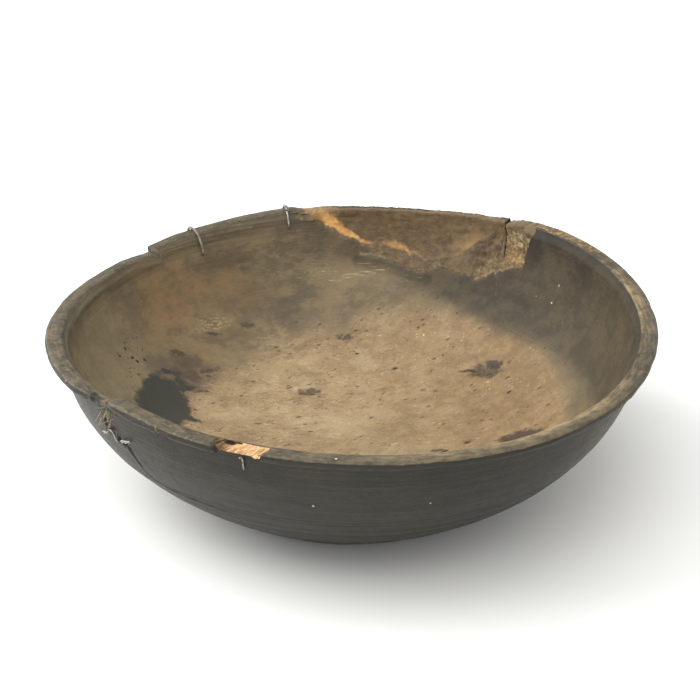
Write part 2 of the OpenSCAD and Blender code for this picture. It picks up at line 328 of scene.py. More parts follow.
# fibres of the split face run along the grain, which is nearly level on this wall
fibres = 0.22 * ripple_2d(angle / 9, height / (2.3 * mm) + 0.16 * angle, 31) \
    + 0.1 * ripple_2d(angle / 2.6, height / (1.1 * mm), 32) \
    + 0.3 * ripple_2d(angle / 7, height / (9 * mm), 30)
crumble = (ease((53.2 - angle) / 0.5) * (angle > 40)
    * (0.1 * ripple_2d(angle / 0.8, height / (1.6 * mm), 33)
        + 0.55 * ripple_2d(angle / 2.6 + height / (5 * mm), height / (5 * mm), 34)))
split_r = outside_radius(np.minimum(height, neck_z)) - split_skin + (fibres + crumble) * mm
climb = (height - low) / slope
rough_slope = in_break * (climb > 0) * ease((1.15 - climb) / 0.3) * (slope > 2.5 * mm)
lumps = rough_slope * (0.16 * ripple_2d(angle / 2.1 + height / (7 * mm), height / (3.2 * mm), 35)
                       + 0.10 * ripple_2d(angle / 0.9, height / (1.5 * mm), 36))
torn = np.where(climb > 0, np.clip(0.28 + 0.72 * np.clip(climb, 0, 1) + lumps, 0.05, 1.05), 0) * in_break
torn[~(on_inside | on_bead)] = 0

height_on_lathe = height.copy()
radius = np.where(on_inside, radius + torn * np.maximum(0, split_r - radius), radius)
# the bead: what lies inside the split face is pushed out to it, what stands over the new top is pressed down
bead_edge = neck_r + 0.8 * mm + (groove_in + 1 * mm) * share
pressed = in_break & on_bead
radius = np.where(pressed & (radius > bead_edge), bead_edge + 0.05 * (radius - bead_edge), radius)
inner_lip = np.minimum(split_r, bead_edge - 2 * mm)
radius = np.where(pressed & (share < 0.95) & (radius < inner_lip), inner_lip - 0.05 * (inner_lip - radius),
    radius)
height = np.where(in_break & (height > upper), upper + 0.06 * (height - upper)
                  + 0.25 * mm * jagged(angle / 0.4, 41) * along_edge, height)
print("points moved by the break:", int((torn > 0).sum()))

# %% [markdown]
# ## Cracks
# A crack is a thin dark line with a little depth. The points next to it are pushed into the wall,
# deepest in the middle of the crack, which makes a narrow groove whose bottom the light can't
# reach. The front crack opens at the rim and then runs on under the wall as a closed split.

# %% Cracks as narrow grooves
def near_line(path, half):
    # 1 on a line drawn on the bowl, falling to 0 at the given distance; path holds (angle, mm below the rim)
    best = np.full(len(points), 9.0)
    for (a0, d0), (a1, d1) in zip(path, path[1:]):
        way_x, way_y = np.radians(a1 - a0) * turned_radius, (d1 - d0) * mm
        x, y = np.radians(angle - a0) * turned_radius, (drop - d0) * mm
        along = np.clip((x * way_x + y * way_y) / (way_x ** 2 + way_y ** 2), 0, 1)
        best = np.minimum(best, np.hypot(x - along * way_x, y - along * way_y))
    return np.clip(1 - best / half, 0, 1)


front_path = [(224.3, -4), (224.2, 5.2), (221.4, 9), (220.4, 14), (219.9, 20), (220.8, 22.2), (222.6, 24),
              (225.2, 26.5), (225.9, 31), (226.2, 36), (226.3, 40.5)]
split_path = [(226.3, 40.5), (227.2, 47), (229, 49.3), (234, 50.4), (238.8, 51.1), (247, 53.8), (251, 54.4)]
rear_path = [(53, -4), (53, 3), (52.3, 9), (52.1, 15), (51.7, 22), (51.9, 28)]


def angle_on(path, below):
    # the angle that a path has reached, so many millimetres below the rim
    return np.interp(below, [d for a, d in path], [a for a, d in path])


front_line = angle_on(front_path, drop)
wander = 1 + 0.5 * ripple(drop / 1.7, 50)
front_groove = near_line(front_path, 0.58 * mm * wander) ** 0.7 * 2.0 * mm
rear_line = angle_on(rear_path, drop)
rear_groove = near_line(rear_path, 0.55 * mm * wander) ** 0.7 * 1.3 * mm * (angle > 50) * (angle < 56) \
    * ease((27 - drop) / 7)
split_groove = near_line(split_path, 0.65 * mm) * on_outside * ease((253 - angle) / 12)

crack_depth = front_groove + rear_groove
radius = radius - (crack_depth + 0.9 * mm * split_groove) * on_outside \
    + crack_depth * on_inside * (angle < 60)
bead_outer = on_bead & (turned_radius > rim_r - 1.2 * mm)
radius = radius - 1.5 * crack_depth * bead_outer
height = height - 1.6 * crack_depth * (on_bead & (turned_height > bowl_h - 1.6 * mm))
in_crack = np.clip(crack_depth / (1.0 * mm), 0, 1) * (on_bead | on_outside | (angle < 60)) \
    + split_groove * 0.9

# left of the front crack the bead has crumbled away to a stump, right of it the broken end has worn round
past_crack = angle - front_line
stump = ease((angle - 213) / 10) * (past_crack < 0)
core_r, core_z = neck_r + 1 * mm, neck_z + 1.5 * mm
worn = 1 - stump * (0.78 + 0.2 * ripple(angle / 0.7, 52) * stump)
radius = np.where(on_bead & (turned_radius > core_r), core_r + (radius - core_r) * worn, radius)
height = height - stump * on_bead * (1.7 + 0.9 * ripple(angle / 0.9, 53)) * mm * (turned_height > core_z)
past = np.clip(past_crack / 2.6, 0, 1)
round_end = np.where(past_crack < 0, 1, np.maximum(0.3, np.sqrt(1 - (1 - past) ** 2)))
radius = np.where(on_bead, core_r + (radius - core_r) * round_end, radius)
height = np.where(on_bead & (turned_height > core_z), core_z + (height - core_z) * round_end, height)
print("deepest crack:", round(float(crack_depth.max()) / mm, 2), "mm")

# %% [markdown]
# ## The chip in the front of the rim
# A knock has broken a piece out of the bead, where a third stitch once pulled on it. The fresh
# wood there is rough, with fibres standing at a slant, and one pointed corner hangs down.

# %% Chip
from_chip = angle - chip_dir
down_face = np.clip((round_bead - 0.27) / 0.73, 0, 1)
left_end = -4.7 + 0.5 * ripple(down_face * 5, 60)
right_end = 2.9 + 1.7 * (1 - down_face) + 0.2 * ripple(down_face * 4, 63)
chip = on_bead * (round_bead > 0.25) * ease((from_chip - left_end) / 0.35) \
    * ease((right_end - from_chip) / 0.4)
lean_share = 2.1
chip_width = 12
fibre_lean = from_chip + lean_share * down_face
slanted = 0.6 * ripple(fibre_lean / 0.62, 61) + 0.35 * ripple(fibre_lean / 0.33, 62)
cavity = bump(from_chip, -2.7, 1.9) * bump(down_face, 0.15, 0.4) \
    + 0.7 * bump(from_chip, -0.9, 1.1) * bump(down_face, 0.03, 0.24)
hang = bump(from_chip, 2.4, 1.2) * ease((down_face - 0.55) / 0.4)
out_from_face = 0.55 * slanted - 2.8 * cavity + 1.5 * hang
face_r = bead_in + (1.0 + 2.6 * down_face + 0.8 * out_from_face) * mm
sunk = 0.5 + 0.9 * ease((from_chip + 1) / 4)
face_z = bowl_h - (sunk + (5.1 - sunk) * down_face - 0.5 * out_from_face + 1.2 * hang) * mm
radius = radius + chip * (face_r - radius)
height = height + chip * (face_z - height)
print("points in the chip:", int((chip > 0.5).sum()))

# %% [markdown]
# ## Wear
# Years of use have rounded and nicked the rim, scraped a hollow in the floor and left the surface
# a little uneven. Long, low waves are added to the walls first, then nicks in the rim, then the
# hollow.

# %% Waves, nicks and the scraped hollow
low_waves = 0.35 * ripple_2d(angle / 9, height / (16 * mm), 71) \
    + 0.12 * ripple_2d(angle / 3, height / (5 * mm), 72)
calm = np.clip(turned_radius / (60 * mm), 0, 1)
radius = radius + low_waves * mm * calm * (on_inside | on_outside) * ~(turned_height < 2 * mm)
rim_wear = ripple(angle / 3.1, 73) * 0.25 + ripple(angle / 0.9, 74) * 0.14
height = height \
    - np.abs(rim_wear) * mm * (on_bead & (turned_height > bowl_h - 2 * mm)) * ~in_break * (1 - chip)
nick = ease((angle - 236.6) / 1.0) * ease((239.3 - angle) / 0.3) * bump(round_bead, 0.86, 0.24)
radius = radius - nick * (2.6 + 0.8 * ripple(angle / 0.5, 75)) * mm
height = height + nick * 0.9 * mm
bruises = np.clip(ripple(angle / 2.3, 76) - 0.55, 0, 1) * on_bead * (turned_radius > rim_r - 1.4 * mm)
radius = radius - bruises * 1.4 * mm * ~in_break * (1 - chip)
bead_wear = 0.3 * ripple_2d(angle / 4, round_bead * 5, 77) + 0.16 * ripple_2d(angle / 1.6, round_bead * 9, 78)
radius = radius \
    + bead_wear * mm * on_bead * ease((turned_radius - neck_r) / (3 * mm)) * ~in_break * (1 - chip)


def dent(x, y, half_x, half_y, deep, turn=0.0):
    # a shallow bowl-shaped dent in the inside, at a place seen from above
    dx, dy = points[:, 0] - x * mm, points[:, 1] - y * mm
    c, s = math.cos(math.radians(turn)), math.sin(math.radians(turn))
    far = np.hypot((dx * c + dy * s) / (half_x * mm), (dy * c - dx * s) / (half_y * mm))
    return deep * mm * ease(1.4 * (1 - far)) * on_inside


dents = dent(83, 68, 13, 6, 2.2, -26) + dent(50, -8, 3.5, 2, 0.9) + dent(-26, 61, 8, 4, 1.0, -8)
dents = dents + dent(98, -8, 15, 5, 1.2, -5) + dent(-100, 32, 16, 13, 0.8) + dent(-4, 112, 7, 3, 0.8)
height = height - dents
print("deepest dent:", round(float(dents.max()) / mm, 2), "mm")

# %% [markdown]
# ## Warp
# Wood shrinks more across its rings than along them, so a turned bowl dries into a slight saddle
# and oval. The rim also stands up on the right of the front crack, and a strip of it has sprung
# out and up at the rear left, with a step at its end.

# %% Warp
saddle = 5 * mm
saddle_dir = math.radians(51)
oval = 0.009
lean_x = 2.5 * mm
lean_y = 1 * mm
strip_root = 100.5
spring_out = 2 * mm
tall = 40 * mm
short = 16 * mm
turn = np.radians(angle)


def near_rim(z, deep):
    return ease((z - bowl_h + deep) / (deep - 4 * mm))


def sprung(degrees):
    # how far the loose strip of bead has sprung, from its root to the step at its end
    return np.where(degrees > strip_step, 0,
                    ease((degrees - strip_root) / 4) * (1 - 0.3 * ease((degrees - strip_step + 7) / 7)))


def end_rise(past):
    # how far the rim stands up, so many degrees to the right of the front crack
    return np.where(past < 0, 0, 3.3 * mm * (1 - ease(past / 22)))


strip = sprung(angle)
sag = np.where(angle < strip_step, 0, -1.8 * mm * (1 - ease((angle - strip_step) / 10)))
front_rise = end_rise(past_crack)
rear_drop = np.where(angle > rear_crack, 0, -1.2 * mm * ease((angle - rear_crack + 14) / 14))
dried = saddle * np.cos(2 * (turn - saddle_dir)) + lean_x * np.cos(turn) + lean_y * np.sin(turn)
height = height + np.maximum(0, turned_height / bowl_h) * dried \
    + near_rim(turned_height, tall) * (front_rise + rear_drop) \
    + near_rim(turned_height, short) * (spring_out * strip + sag)
radius = radius * (1 + oval * np.cos(2 * (turn - saddle_dir))) \
    + spring_out * strip * near_rim(turned_height, short)
moved = np.stack([radius * np.cos(turn), radius * np.sin(turn), height], 1)
bowl_mesh.vertices.foreach_set("co", moved.ravel())
bowl_mesh.update()
print("rim height from", round(float(height[on_bead].min()) / mm, 1), "to",
    round(float(height.max()) / mm, 1), "mm")

# %% [markdown]
# ## Marks on the wood, kept at its points
# Some marks belong to a place on the bowl: the split face, fresh wood, the dark line in a crack,
# the pale scrubbed floor. Each is stored as a number from 0 to 1 at every point of the mesh, called
# an attribute, and the material reads it. The material then breaks its soft edge up with fine
# noise, so the marks look sharp although the points are some millimetres apart.

# %% Attributes
def mark(name, values):
    layer = bowl_mesh.attributes.new(name, "FLOAT", "POINT")
    layer.data.foreach_set("value", np.clip(values, 0, 1).astype(np.float32))


round_angle = (angle + 180) % 360 - 180
floor_reach = (np.interp(round_angle,
    [-180, -170, -20, 0, 15, 27, 42, 58, 73, 87, 100, 115, 128, 140, 160, 180],
    [114, 116, 126, 124, 127, 132, 134, 135, 133, 127, 119, 111, 108, 107, 109, 114]) * mm)
fade_width = np.interp(round_angle, [-180, -20, 0, 50, 70, 100, 150, 180], [24, 16, 14, 16, 26, 60, 56, 24]) \
    * mm
pale_floor = ease(0.5 - (turned_radius - floor_reach) / fade_width) * on_inside
top_face = on_bead * ease((turned_height - bowl_h + 1.5 * mm) / (1.2 * mm)) \
    * (turned_radius > neck_r - 3 * mm)
# painted highlight: a light band of rim colour along the inner edge of the bead, at the front only
inner_edge_highlight = on_bead * bump(turned_radius, bead_in, 2.2 * mm) * ease((round_angle + 190) / 10) \
    * ease((-20 - round_angle) / 20)

# soot and grime, thickest under the rim at the rear right and below the ledge
soot_floor = np.interp(round_angle, [-30, 10, 30, 45, 60, 75, 90, 100], [50, 44, 40, 38, 43, 52, 62, 70]) * mm
soot_share = np.interp(round_angle, [-50, -15, 5, 20, 35, 48, 60, 75, 90, 100],
    [0, 0.6, 0.65, 0.78, 0.95, 1, 0.95, 0.7, 0.45, 0])
soot = (on_inside | on_bead) * soot_share * ease((turned_height - soot_floor) / (9 * mm) + 0.3)
soot = soot * (0.87 + 0.13 * ease((turned_height - 70 * mm) / (18 * mm)))
soot = np.maximum(soot, 1.6 * near_line([(89, 32.5), (81.8, 36.5), (75, 40.5), (70, 42)], 5 * mm) * on_inside)
soot = np.maximum(soot, 0.95 * ease(1.4 * near_line([(60, 41), (49, 43), (42, 44.5)], 11 * mm)) * on_inside)

middle = low + slope
patch = in_break * ease((rear_line - angle) / 0.3) * (torn > 0.05) * ease((drop - 3) / 4)
ledge_strip = in_break * (angle > 51.3) * ease((61 - angle) / 3) * ease((0.55 - climb) / 0.3) \
    * (torn > 0.05) * (0.8 + 0.2 * ripple(angle / 1.2, 88))
crumbs = in_break * bump((height_on_lathe - low) / mm, 1.0, 2.2) * (torn > 0) * ease((89 - angle) / 4) \
    * (0.5 + 0.4 * ripple(angle / 1.3, 83))
inner_reach = np.interp(angle, [26, 31, 40, 47], [163, 161, 160, 161.5]) * mm \
    + 0.7 * mm * ripple(angle / 1.1, 84)
on_strip = on_bead * ease((turned_radius - inner_reach) / (1.2 * mm)) \
    * ease((rim_r - 1.7 * mm - turned_radius) / (0.8 * mm))
raw_strip = on_strip * (turned_height > bowl_h - 1.5 * mm) * ease((angle - 25.5) / 3) \
    * ease((53 - angle) / 0.5) * (1 - 0.45 * ease((angle - 45.5) / 2))
light_right = top_face * 0.5 * bump(round_angle, -14, 12) * (0.6 + 0.4 * ripple(angle / 1.3, 81))
frayed = bump(angle, 102.5, 2.6) * on_bead * 0.9
nick_edge = bump(angle - 2 * (round_bead - 0.7), 236.9, 0.5) * bump(round_bead, 0.68, 0.3)
raw = np.maximum.reduce([0.75 * nick_edge, patch, 0.8 * ledge_strip, crumbs, raw_strip, light_right * 0.5,
        frayed * 0.5, 0.5 * stump * on_bead * (past_crack > -3)])

# fresh amber wood lies just above the slope, in three tongues; this is how high each reaches
tongue_angle = [58, 60, 62.5, 65, 67, 72, 75, 78, 80, 82, 84, 86, 90, 93, 96, 98, 101, 102.4]
tongue_reach = [0, 5, 7.5, 3.5, 0.5, 0.6, 2.5, 5.5, 8.0, 5, 0, 1, 3.2, 7.5, 11, 11, 10, 0]
tongue_glow = [0.2, 0.3, 0.32, 0.24, 0.18, 0.3, 0.4, 0.5, 0.5, 0.35, 0.25, 0.6, 0.75, 1, 1, 0.45, 0.3, 0.2]
reach = np.interp(angle + 0.5 * ripple(height / (2 * mm), 82), tongue_angle, tongue_reach) * mm
tongue_share = (height_on_lathe - middle + 1.5 * mm) / np.maximum(reach + 1.5 * mm, 0.1 * mm)
glow = (on_inside | on_bead) * in_break * (reach > 0.3 * mm) * ease(tongue_share / 0.25) \
    * ease((1.2 - tongue_share) / 0.8)
amber = glow * np.interp(angle, tongue_angle, tongue_glow)
amber = np.maximum(amber, 0.3 * on_bead * in_break * ease((angle - 91) / 3) * ease((102 - angle) / 2))
rough_facet = rough_slope * (angle > 52.9) * (torn > 0.05) * np.interp(angle, [66, 72, 84], [1, 0.5, 0.3])

# a few thin lines scored in the inside: how strong each is, its path, and half its width in millimetres
scored_lines = [(1, [(93, 40.7), (81.8, 38.0)], 0.8), (0.8, [(92.6, 42.4), (84, 40.2)], 0.8),
                (0.5, [(52.2, 33), (50.8, 43)], 0.9), (0.7, [(119.8, 5.6), (113.8, 5.2)], 0.8),
                (0.6, [(88, 28.6), (85, 29.2), (82, 31)], 3)]
scored = np.maximum.reduce([strength * near_line(path, half * mm) for strength, path, half in scored_lines])
scored = scored * (on_inside | on_bead)

to_groove = np.abs(turned_height[:, None] - np.array(groove_heights) * mm).min(1)
in_groove = on_outside * np.clip(1.2 - to_groove / (1 * mm), 0, 1) \
    * (0.6 + 0.4 * ripple(angle / 14 + turned_height / (3 * mm), 87))
lip_start = rim_r - (7.2 + 1.8 * ease((angle - 68) / 6)) * mm
dark_lip = on_bead * in_break * (angle > 53) * (angle < 95) * ease((turned_radius - lip_start) / (0.8 * mm))
lip_flecks = on_bead * in_break * (angle > 55) * (angle < 86) * (ripple(angle / 1.4, 85) > 0.1) \
    * (ripple(angle / 0.5, 86) > -0.3)
raw = np.maximum(raw, 0.9 * lip_flecks * bump(turned_radius, rim_r - 7.8 * mm, 1.6 * mm))
for name, values in {
        "inside": on_inside + on_bead * ease((neck_r + 3.5 * mm - turned_radius) / (5 * mm)),
        "height": turned_height / bowl_h,
        # the rim mask also carries the painted highlight along the bead's inner edge
        "rim": np.maximum(top_face, inner_edge_highlight) * (1 - chip) * (1 - stump) * (1 - 0.85 * dark_lip),
        "outer_bead": on_bead * ease((turned_radius - bead_in - 2.2 * mm) / (3.5 * mm)),
        "pale": pale_floor,
        "soot": soot,
        "scored": scored,
        "split_face": ease(torn / 0.3) * in_break * (1 - 0.9 * dark_lip),
        "raw": raw,
        "amber": amber,
        "facet": rough_facet,
        "chip": chip,
        "chip_across": (from_chip + chip_width / 2) / chip_width,
        "chip_down": down_face,
        # painted shade: marks the hollow in the chip, which the material darkens
        "hollow": chip * np.clip(cavity, 0, 1),
        "crack": in_crack,
        "groove": in_groove}.items():
    mark(name, values)
print("attributes:", [a.name for a in bowl_mesh.attributes if a.data_type == "FLOAT"])

# %% [markdown]
# Broken wood is never clean. A few slivers still stand at the broken edges, along the grain, and a
# tuft of frayed fibres hangs in the front crack. Each is a thin, flattened cone, added to the same
# mesh, and it takes the colour of fresh wood from the same attributes.

# %% Splinters
bowl_bm = bmesh.new()
bowl_bm.from_mesh(bowl_mesh)
layers = {name: bowl_bm.verts.layers.float[name] for name in ("raw", "scored", "inside", "height")}
chance = np.random.default_rng(90)


mm_per_degree = 2.9
out_of_reach = 999.0


def surface_point(degrees, mm_down, side):
    # the nearest point of the bowl to a place, among the points of one side
    far = np.hypot((angle - degrees) * mm_per_degree, drop - mm_down) + out_of_reach * ~side
    return Vector(moved[int(far.argmin())])


def splinter(foot, way, long, wide, fresh=0.9, pale=0.0):
    way = Vector(way).normalized()
    place = Matrix.Translation(foot + way * long * 0.38) @ way.to_track_quat("Z", "Y").to_matrix().to_4x4()
    made = bmesh.ops.create_cone(bowl_bm, cap_ends=True, segments=5, radius1=wide / 2, radius2=wide / 14,
        depth=long, matrix=place @ Matrix.Diagonal((1, 0.5, 1, 1)))
    for vert in made["verts"]:
        (vert[layers["raw"]], vert[layers["scored"]], vert[layers["inside"]], vert[layers["height"]]) = (
            fresh, pale, 1, 0.8)


def along_grain(degrees, tilt, lift):
    t = math.radians(degrees)
    return Vector((-math.sin(t) - tilt * math.cos(t), math.cos(t) - tilt * math.sin(t), lift))


for degrees in (57.5, 60, 64, 67, 70.2, 72.4, 75, 79, 82.5, 84.6, 87, 90, 94, 97):
    edge_drop = float(np.interp(degrees, edge_angle, edge_low))
    side = chance.choice([-1, 1])
    splinter(surface_point(degrees, edge_drop, on_inside),
        side * along_grain(degrees, 0.1 * side, 0.0) + Vector((0, 0, chance.uniform(0, 0.3))),
        chance.uniform(2.2, 5) * mm, chance.uniform(0.5, 1.0) * mm, chance.uniform(0.5, 0.9))
for degrees, side in ((101.6, 1), (102.3, -1), (103.2, 1), (104, -1), (100.6, 1)):
    splinter(surface_point(degrees, 1, on_bead), side * along_grain(degrees, 0.15 * side, 0.1),
             chance.uniform(3, 6) * mm, 0.9 * mm)
crack_fibres = [(222.9, 5), (221.9, 8), (221.2, 10.5), (220.8, 12), (220.4, 14), (220.1, 17), (220, 19),
    (221, 21), (223.4, 3), (222.2, 6.5), (219.5, 9), (222.6, 7), (222.2, 9), (221.6, 11.5), (221.2, 13),
    (220.9, 15.5), (220.6, 18), (220.4, 20), (221.6, 22.5), (222.6, 23.5), (221.9, 16.5), (223.6, 6),
    (223.1, 8), (222.8, 10), (222.3, 12), (221.8, 14), (222, 16.5), (221.5, 18.5), (219.2, 12), (219, 15.5),
    (218.8, 18), (223.8, 9.5), (223.1, 13)]
for degrees, down in crack_fibres:
    t = math.radians(degrees)
    outward = Vector((math.cos(t), math.sin(t), 0))
    splinter(surface_point(degrees, down, on_outside | on_bead),
        outward * chance.uniform(0.25, 0.6) + along_grain(degrees, 0, 0) * chance.uniform(-0.7, 0.7)
            + Vector((0, 0, chance.uniform(-1.2, 0.4))), chance.uniform(3, 7) * mm,
        chance.uniform(0.45, 0.8) * mm, 0.3, 1.0)
for degrees, down in ((247.6, 1), (248.2, 3), (254.6, 4), (250.6, 0.6)):
    splinter(surface_point(degrees, down, on_bead), along_grain(degrees, -0.2, -0.15), 3 * mm, 0.7 * mm, 0.7)
splinter_count = len(bowl_bm.verts) - len(bowl_mesh.vertices)
bowl_bm.to_mesh(bowl_mesh)
bowl_bm.free()
print("points in the splinters:", splinter_count)

# %% [markdown]
# ## Building materials from nodes
# A material is a graph of small nodes. Writing the graph by hand repeats the same few lines, so
# a short helper class adds a node, plugs in its inputs and returns its output. Sums and products of
# masks have names of their own, and coats lays one colour over another, row by row, as a painter
# would. Colours are given as they look on a screen, from 0 to 255, and turned into the linear values
# that nodes expect.

# %% Node helpers
def paint(red, green, blue):
    def linear(c):
        c = c / 255
        return c / 12.92 if c <= 0.04045 else ((c + 0.055) / 1.055) ** 2.4
    return (linear(red), linear(green), linear(blue), 1)


class Graph:
    def __init__(self, tree):
        self.tree = tree

    def plug(self, socket, value):
        if isinstance(value, bpy.types.NodeSocket):
            self.tree.links.new(value, socket)
        elif value is not None:
            socket.default_value = value

    def add(self, kind, output=0, settings=(), **inputs):
        node = self.tree.nodes.new("ShaderNode" + kind)
        for name, value in dict(settings).items():
            setattr(node, name, value)
        for name, value in inputs.items():
            key = int(name[1:]) if name[0] == "i" and name[1:].isdigit() else name.replace("_", " ")
            self.plug(node.inputs[key], value)
        return node.outputs[output]

    def coordinates(self):
        return self.add("TexCoord", "Object")

    def attribute(self, name):
        return self.add("Attribute", "Fac", {"attribute_name": name})

    def placed(self, vector, size, turn=(0, 0, 0)):
        # divides the pattern's space into cells of the given size, in metres, turned by degrees
        turned = self.add("VectorRotate", settings={"rotation_type": "EULER_XYZ"}, Vector=vector,
                          Rotation=tuple(math.radians(t) for t in turn))
        return self.vector("MULTIPLY_ADD", turned, tuple(1 / s for s in size))

    def noise(self, vector, detail=3.0, rough=0.5, distort=0.0):
        return self.add("TexNoise", Vector=vector, Scale=1.0, Detail=detail, Roughness=rough,
            Distortion=distort)

    def cells(self, vector):
        node = self.tree.nodes.new("ShaderNodeTexVoronoi")
        self.plug(node.inputs["Vector"], vector)
        node.inputs["Scale"].default_value = 1.0
        return node.outputs["Distance"], node.outputs["Color"]

    def math(self, operation, a, b=None, clamp=False):
        return self.add("Math", settings={"operation": operation, "use_clamp": clamp}, i0=a, i1=b)

    def times(self, a, b):
        return self.math("MULTIPLY", a, b)

    def plus(self, a, b):
        return self.math("ADD", a, b)

    def minus(self, a, b, clamp=False):
        return self.math("SUBTRACT", a, b, clamp)

    def most(self, *masks):
        # the strongest of several masks at each place
        total = masks[0]
        for mask in masks[1:]:
            total = self.math("MAXIMUM", total, mask)
        return total

    def vector(self, operation, a, b=None, c=None):
        return self.add("VectorMath", settings={"operation": operation}, i0=a, i1=b, i2=c)

    def length(self, a):
        return self.add("VectorMath", "Value", {"operation": "LENGTH"}, i0=a)

    def scaled(self, a, size):
        return self.add("VectorMath", settings={"operation": "SCALE"}, i0=a, Scale=size)

    def turned(self, a, turn):
        # turned about the upright axis, in radians
        return self.add("VectorRotate", settings={"rotation_type": "Z_AXIS"}, Vector=a, Angle=turn)

    def span(self, value, low, high, to_low=0.0, to_high=1.0):
        # a smooth step from one value to another while the input goes from low to high
        return self.add("MapRange", settings={"interpolation_type": "SMOOTHSTEP", "clamp": True}, Value=value,
                        From_Min=low, From_Max=high, To_Min=to_low, To_Max=to_high)

    def mix(self, share, a, b):
        node = self.tree.nodes.new("ShaderNodeMix")
        node.data_type = "RGBA"
        self.plug(node.inputs[0], share)
        self.plug(node.inputs[6], a)
        self.plug(node.inputs[7], b)
        return node.outputs[2]

    def coats(self, base, rows):
        # each row is (mask, strength, colour), a colour being three screen values or a socket
        for mask, strength, colour in rows:
            share = mask if strength == 1 else self.times(mask, strength)
            base = self.mix(share, base, paint(*colour) if isinstance(colour, tuple) else colour)
        return base

    def group(self, made, output, **inputs):
        node = self.tree.nodes.new("ShaderNodeGroup")
        node.node_tree = made
        for name, value in inputs.items():
            self.plug(node.inputs[name.replace("_", " ")], value)
        return node.outputs[output] if isinstance(output, str) else [node.outputs[o] for o in output]


def start_group(name, inputs, outputs):
    tree = bpy.data.node_groups.new(name, "ShaderNodeTree")
    for label, (kind, default) in inputs.items():
        socket = tree.interface.new_socket(name=label, in_out="INPUT", socket_type="NodeSocket" + kind)
        if default is not None:
            socket.default_value = default
    for label in outputs:
        tree.interface.new_socket(name=label, in_out="OUTPUT", socket_type="NodeSocketFloat")
    graph = Graph(tree)
    source = tree.nodes.new("NodeGroupInput")
    sink = tree.nodes.new("NodeGroupOutput")
    return tree, graph, source.outputs, sink.inputs


print("node helpers are ready")

# %% [markdown]
# ## Grain
# The bowl was turned from the side of a log, so the fibres run straight through it from left to
# right, and the pattern is solid: the same streaks come out on the inside and on the outside. Noise
# that is stretched along one axis makes such streaks. Two sizes of it are made, streaks and
# hair-fine fibres, with a few dark flecks between them. The masks go out on their own sockets, so
# that each material sets how strongly it shows them.

# %% Group: wood grain
grain_group, g, source, sink = start_group(
    "wood_grain", {"Vector": ("Vector", None)}, ["Streaks", "Fibres", "Flecks"])
bend = g.add("TexNoise", "Color", Vector=g.placed(source["Vector"], (0.09, 0.05, 0.05)), Scale=1.0, Detail=2.0)
bent = g.vector("MULTIPLY_ADD", bend, (0.006, 0.012, 0.012), source["Vector"])
g.plug(sink["Streaks"],
    g.span(g.noise(g.placed(bent, (0.045, 0.0022, 0.0022), (0, 0, -19)), 4, 0.6), 0.3, 0.7))
g.plug(sink["Fibres"],
    g.span(g.noise(g.placed(bent, (0.014, 0.0006, 0.0006), (0, 0, -20)), 3, 0.6), 0.3, 0.7))
far, colour = g.cells(g.placed(bent, (0.0060, 0.0009, 0.0009), (0, 0, -22)))
chosen = g.span(g.add("SeparateColor", "Red", Color=colour), 0.80, 0.84)
g.plug(sink["Flecks"], g.times(g.span(far, 0.32, 0.12), chosen))
print("made", grain_group.name)

# %% [markdown]
# ## Stains
# Dark stains, worn patches and gouges each lie at one place. One group makes them all: it measures
# how far a point is from the stain's middle, as a share of its size along three axes, and lets
# noise push its edge in and out. It is placed once for each stain, with its own values.

# %% Group: a stain at one place
stain_group, g, source, sink = start_group(
    "stain_at_a_place", {"Vector": ("Vector", None), "Middle": ("Vector", None),
                         "Size": ("Vector", (0.01, 0.01, 0.01)), "Turn": ("Float", 0.0),
                         "Ragged": ("Float", 0.4), "Grain": ("Float", 0.01), "Soft": ("Float", 0.3)}, ["Mask"])
offset = g.turned(g.vector("SUBTRACT", source["Vector"], source["Middle"]), source["Turn"])
far = g.length(g.vector("DIVIDE", offset, source["Size"]))
cell = g.scaled(source["Vector"], g.math("DIVIDE", 1.0, source["Grain"]))
push = g.times(g.minus(g.noise(cell, 5, 0.62), 0.5), source["Ragged"])
edge = g.plus(far, g.times(push, 2.0))
start = g.minus(1.0, source["Soft"])
g.plug(sink["Mask"], g.span(edge, 1.0, start))
print("made", stain_group.name)

# %% [markdown]
# ## Pits, scratches, dust and turning marks
# Worm holes and torn pores are small dark ovals, longer along the grain. Scratches are light,
# long and thin. Dust is a few white specks. The tool's lines are level rings, so they follow the
# height that each point had on the lathe. All four come from cell and noise patterns.

# %% Groups: pits, scratches, specks, tool rings
pits_group, g, source, sink = start_group(
    "pits", {"Vector": ("Vector", None), "Length": ("Float", 0.02), "Width": ("Float", 0.01),
             "Share": ("Float", 0.2), "Fill": ("Float", 0.2)}, ["Mask"])
length = g.math("DIVIDE", 1.0, source["Length"])
width = g.math("DIVIDE", 1.0, source["Width"])
wobble = g.add("TexNoise", "Color", Vector=g.placed(source["Vector"], (0.004, 0.004, 0.004)), Scale=1.0,
    Detail=3.0)
bent = g.vector("MULTIPLY_ADD", wobble, (0.004, 0.003, 0.003), g.turned(source["Vector"], math.radians(-25)))
far, colour = g.cells(g.vector("MULTIPLY", bent, g.add("CombineXYZ", X=length, Y=width, Z=width)))
size = g.times(g.add("SeparateColor", "Green", Color=colour), source["Fill"])
picked = g.math("LESS_THAN", g.add("SeparateColor", "Red", Color=colour), source["Share"])
dark = g.minus(1.0, g.math("DIVIDE", far, g.plus(size, 0.02)), clamp=True)
g.plug(sink["Mask"], g.times(g.span(dark, 0.0, 0.5), picked))

scratch_group, g, source, sink = start_group(
    "scratches", {"Vector": ("Vector", None), "Turn": ("Float", 0.0), "Share": ("Float", 0.5)}, ["Mask"])
turned = g.turned(source["Vector"], source["Turn"])
lines = g.noise(g.placed(turned, (0.06, 0.0009, 0.0009)), 2, 0.5)
broken = g.noise(g.placed(turned, (0.018, 0.006, 0.006)), 2, 0.5)
thin = g.span(lines, 0.64, 0.72)
g.plug(sink["Mask"], g.times(thin, g.span(broken, source["Share"], g.plus(source["Share"], 0.1))))

